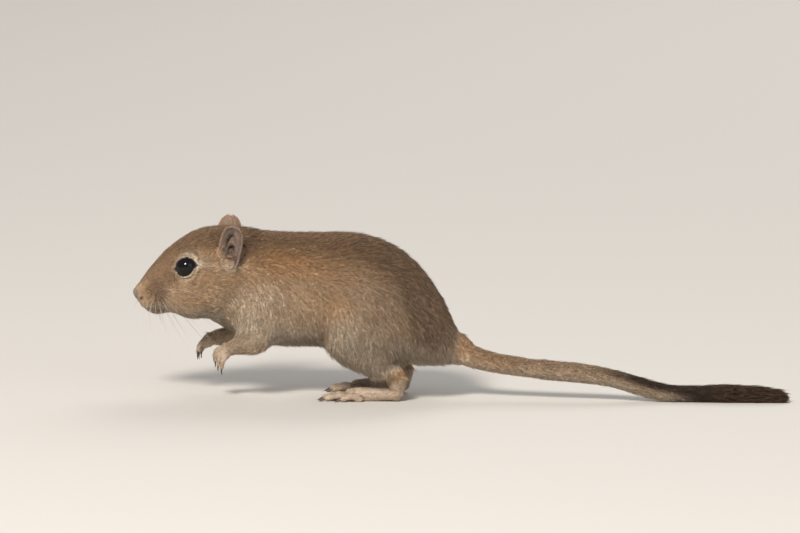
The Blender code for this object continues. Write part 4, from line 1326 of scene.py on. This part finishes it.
def eye_material():
    """A wet, almost black eye that turns deep brown at its edge."""
    made, tree, shader = painted("jird eye", 0.15, 0.0)
    shader.inputs["Coat Weight"].default_value = 0.6
    shader.inputs["Coat Roughness"].default_value = 0.02
    edge = ramp(tree, attribute(tree, "edge"), 0.5, 1.0)
    streaks = noise(tree, object_place(tree), 0.5)
    brown = mixed(tree, ramp(tree, streaks, 0.3, 0.7), (0.008, 0.005, 0.004), (0.022, 0.013, 0.009))
    tree.links.new(mixed(tree, edge, (0.004, 0.0035, 0.004), brown), shader.inputs["Base Color"])
    return made


def horn_material(name, root, tip):
    """Claw horn with fine streaks, from the colour at its root to the one at its tip."""
    made, tree, shader = painted(name, 0.4)
    streaks = noise(tree, object_place(tree), 0.3)
    colour = mixed(tree, attribute(tree, "along"), root, tip)
    streaked = scaled(tree, colour, ramp(tree, streaks, 0.3, 0.7, 0.75, 1.2))
    tree.links.new(streaked, shader.inputs["Base Color"])
    return made


def whisker_material(name, root, tip):
    made, tree, shader = painted(name, 0.35)
    tree.links.new(mixed(tree, attribute(tree, "along"), root, tip), shader.inputs["Base Color"])
    return made


def tapered_rod(bm, layer, path, radii, sides=10, squeeze=1.0, across=Vector((0, 0, 1))):
    """A closed rod through a path that narrows to a point, with how far along it each point lies."""
    rings = []
    for i, (centre, radius) in enumerate(zip(path, radii)):
        heading = (path[min(i + 1, len(path) - 1)] - path[max(i - 1, 0)]).normalized()
        side = heading.cross(across).normalized()
        up = side.cross(heading)
        ring = []
        for k in range(sides):
            angle = 2 * math.pi * k / sides
            point = bm.verts.new(centre + radius * (side * squeeze * math.cos(angle) + up * math.sin(angle)))
            point[layer] = i / len(path)
            ring.append(point)
        rings.append(ring)
    tip = bm.verts.new(path[-1] + (path[-1] - path[-2]) * 0.5)
    tip[layer] = 1.0
    for low, high in zip(rings, rings[1:]):
        for k in range(sides):
            bm.faces.new((low[k], low[(k + 1) % sides], high[(k + 1) % sides], high[k]))
    for k in range(sides):
        bm.faces.new((rings[-1][k], rings[-1][(k + 1) % sides], tip))
    bm.faces.new(rings[0][::-1])


def claw_path(start, way, down, length, hook):
    """Points along a claw that curves down."""
    way, down = way.normalized(), down.normalized()
    steps = 9
    path, heading = [start], way
    for _ in range(steps):
        heading = (heading + down * math.radians(hook) / steps).normalized()
        path.append(path[-1] + heading * length / steps)
    return path


def fore_claw_paths(name):
    place = forepaw_frame(name)
    turn = place.to_3x3()
    drift = FOREPAWS[name]["drift"]
    for offset in FORE_DIGIT_OFFSETS:
        longer = 0.5 if abs(offset) < 1 else 0.0
        knuckle = Vector((4.6 + longer, offset * 1.45 + 0.45 * drift, 0.2))
        tip = Vector((6.0 + longer, offset * 1.55 + drift, -0.8))
        start = place @ (tip - (tip - knuckle).normalized() * 0.3 + Vector((0, 0, 0.15)))
        yield claw_path(start, turn @ (tip - knuckle), turn @ Vector((-0.3, 0, -1)), 3.5, 26.0)


def hind_claw_paths(name):
    side = SIDES[name]
    for base_x, offset, length, splay in HIND_TOES:
        way = Vector((-math.cos(math.radians(splay)), math.sin(math.radians(splay)), 0))
        tip = Vector((TOE_POINT + base_x, FOOT_LINE + offset, 1.35)) + way * (length - 0.3)
        way.z = -0.3
        yield claw_path(mirrored(tip, side), mirrored(way, side), Vector((0, 0, -1)), 3.9, 14.0)


def claws(name, paths, thickness, material):
    """A paw's claws as one piece."""
    bm = bmesh.new()
    layer = bm.verts.layers.float.new("along")
    for path in paths:
        radii = [thickness * (1 - (i / len(path)) ** 1.6) ** 0.8 for i in range(len(path))]
        tapered_rod(bm, layer, path, radii, squeeze=0.72)
    for vertex in bm.verts:
        vertex.co.z = max(vertex.co.z, FLOOR_CLEARANCE)
    made = object_from(name, bm)
    made.data.materials.append(material)
    return made


def eyeball(name, side, material):
    """The ball of an eye, its front a little fuller, with how near its edge each point lies."""
    centre, radius = eye_place(side)
    bm = bmesh.new()
    bmesh.ops.create_uvsphere(bm, u_segments=72, v_segments=48, radius=radius * 0.985)
    axis = mirrored(EYE_AXIS, side).normalized()
    layer = bm.verts.layers.float.new("edge")
    for vertex in bm.verts:
        front = max(0.0, vertex.co.z / radius)
        vertex[layer] = 1 - front**2
        vertex.co.z += 0.12 * front**3
    bm.transform(Matrix.Translation(centre) @ axis.to_track_quat("Z", "Y").to_matrix().to_4x4())
    made = object_from(name, bm)
    made.data.materials.append(material)
    return made


def whiskers(name, side, skin, materials):
    """The whiskers of one side, rooted in rows on the whisker pad."""
    surface = BVHTree.FromPolygons([vertex.co / MM for vertex in skin.data.vertices],
                                   [polygon.vertices[:] for polygon in skin.data.polygons])
    chance = np.random.default_rng(40 + side)
    bm = bmesh.new()
    layer = bm.verts.layers.float.new("along")
    counts = []
    for row in range(WHISKER_ROWS):
        for column in range(WHISKER_COLUMNS):
            back = column / (WHISKER_COLUMNS - 1)
            level = row / (WHISKER_ROWS - 1)
            x = -112.0 + 5.2 * back + 0.6 * (row % 2) + chance.uniform(-0.2, 0.2)
            z = 33.6 + 4.6 * level + chance.uniform(-0.2, 0.2)
            root = surface.ray_cast(Vector((x, 20.0 * side, z)), Vector((0, -side, 0)))[0]
            length = (13.0 + 15.0 * back) * chance.uniform(0.8, 1.1)
            way = Vector((-0.35 + 0.85 * back + chance.uniform(-0.15, 0.15), side * chance.uniform(0.6, 0.95),
                          -0.75 + 0.95 * level + chance.uniform(-0.15, 0.15))).normalized()
            sag = Vector((0.35, 0.0, -0.45))
            steps = 10
            path, heading = [root - way * 0.3], way
            for _ in range(steps):
                heading = (heading + sag * 0.9 / steps).normalized()
                path.append(path[-1] + heading * length / steps)
            radii = [WHISKER_RADIUS * (1 - 0.85 * i / steps) for i in range(steps + 1)]
            before = len(bm.faces)
            tapered_rod(bm, layer, path, radii, sides=5)
            counts.append((len(bm.faces) - before, 0 if level > 0.5 and back < 0.6 else 1))
    bm.faces.index_update()
    made = object_from(name, bm)
    for material in materials:
        made.data.materials.append(material)
    chosen = [kind for count, kind in counts for _ in range(count)]
    made.data.polygons.foreach_set("material_index", chosen)
    return made


studio()
camera()
flesh, flesh_kinds = flesh_tree()
skin = make_skin(flesh, flesh_kinds)
skin_unwrap = describe_skin(skin, flesh, flesh_kinds)
colours = jird_colours()
hair = hair_material(colours)
families = {name: tuft_family(name) for name in TUFTS}
grower = coat_tree()
coats = {}
for number, (name, (family, _, _)) in enumerate(COATS.items()):
    coats[name] = grow_coat(skin, grower, name, families[family], hair, number)
for name in ("piece", "root_place", "lie", "hair_length", "lift", "cover"):
    skin.data.attributes.remove(skin.data.attributes[name])
store_values(skin.data, "OFBake", "FLOAT2", "CORNER", skin_unwrap)
skin.data.materials.append(skin_material(colours))
for family in families.values():
    for tuft in list(family.objects):
        discard(tuft)
    bpy.data.collections.remove(family)

pieces = [skin, *coats.values()]
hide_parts(*FLESH)
for name, coat in coats.items():
    COAT_SLOTS.get(name, "coat_sand")
wet = eye_material()
dark_horn = horn_material("forepaw claw horn", (0.05, 0.035, 0.028), (0.02, 0.015, 0.012))
pale_horn = horn_material("hind claw horn", (0.16, 0.11, 0.08), (0.05, 0.035, 0.027))
whisker_looks = [whisker_material("dark whisker", (0.03, 0.02, 0.016), (0.16, 0.12, 0.09)),
                 whisker_material("pale whisker", (0.45, 0.38, 0.31), (0.72, 0.66, 0.58))]
for name, side in SIDES.items():
    ball_of_eye = eyeball(f"eyeball_{name}", side, wet)
    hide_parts(f"eye_{name}")
    fore = claws(f"claws_fore_{name}", fore_claw_paths(name), 0.48, dark_horn)
    hind = claws(f"claws_hind_{name}", hind_claw_paths(name), 0.52, pale_horn)
    for made, foot, count in ((fore, "fore", 4), (hind, "hind", 5)):
        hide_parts(*(f"claw_{foot}_{name}_{number}" for number in range(1, count + 1)))
    feelers = whiskers(f"whiskers_{name}", side, skin, whisker_looks)
    pieces += [ball_of_eye, fore, hind, feelers]
for piece in pieces:
    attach(piece, "root")

visual_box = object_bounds()
boxes = {"cad": cad_box, "visual": visual_box}
{key: [list(corner) for corner in box] for key, box in boxes.items()}
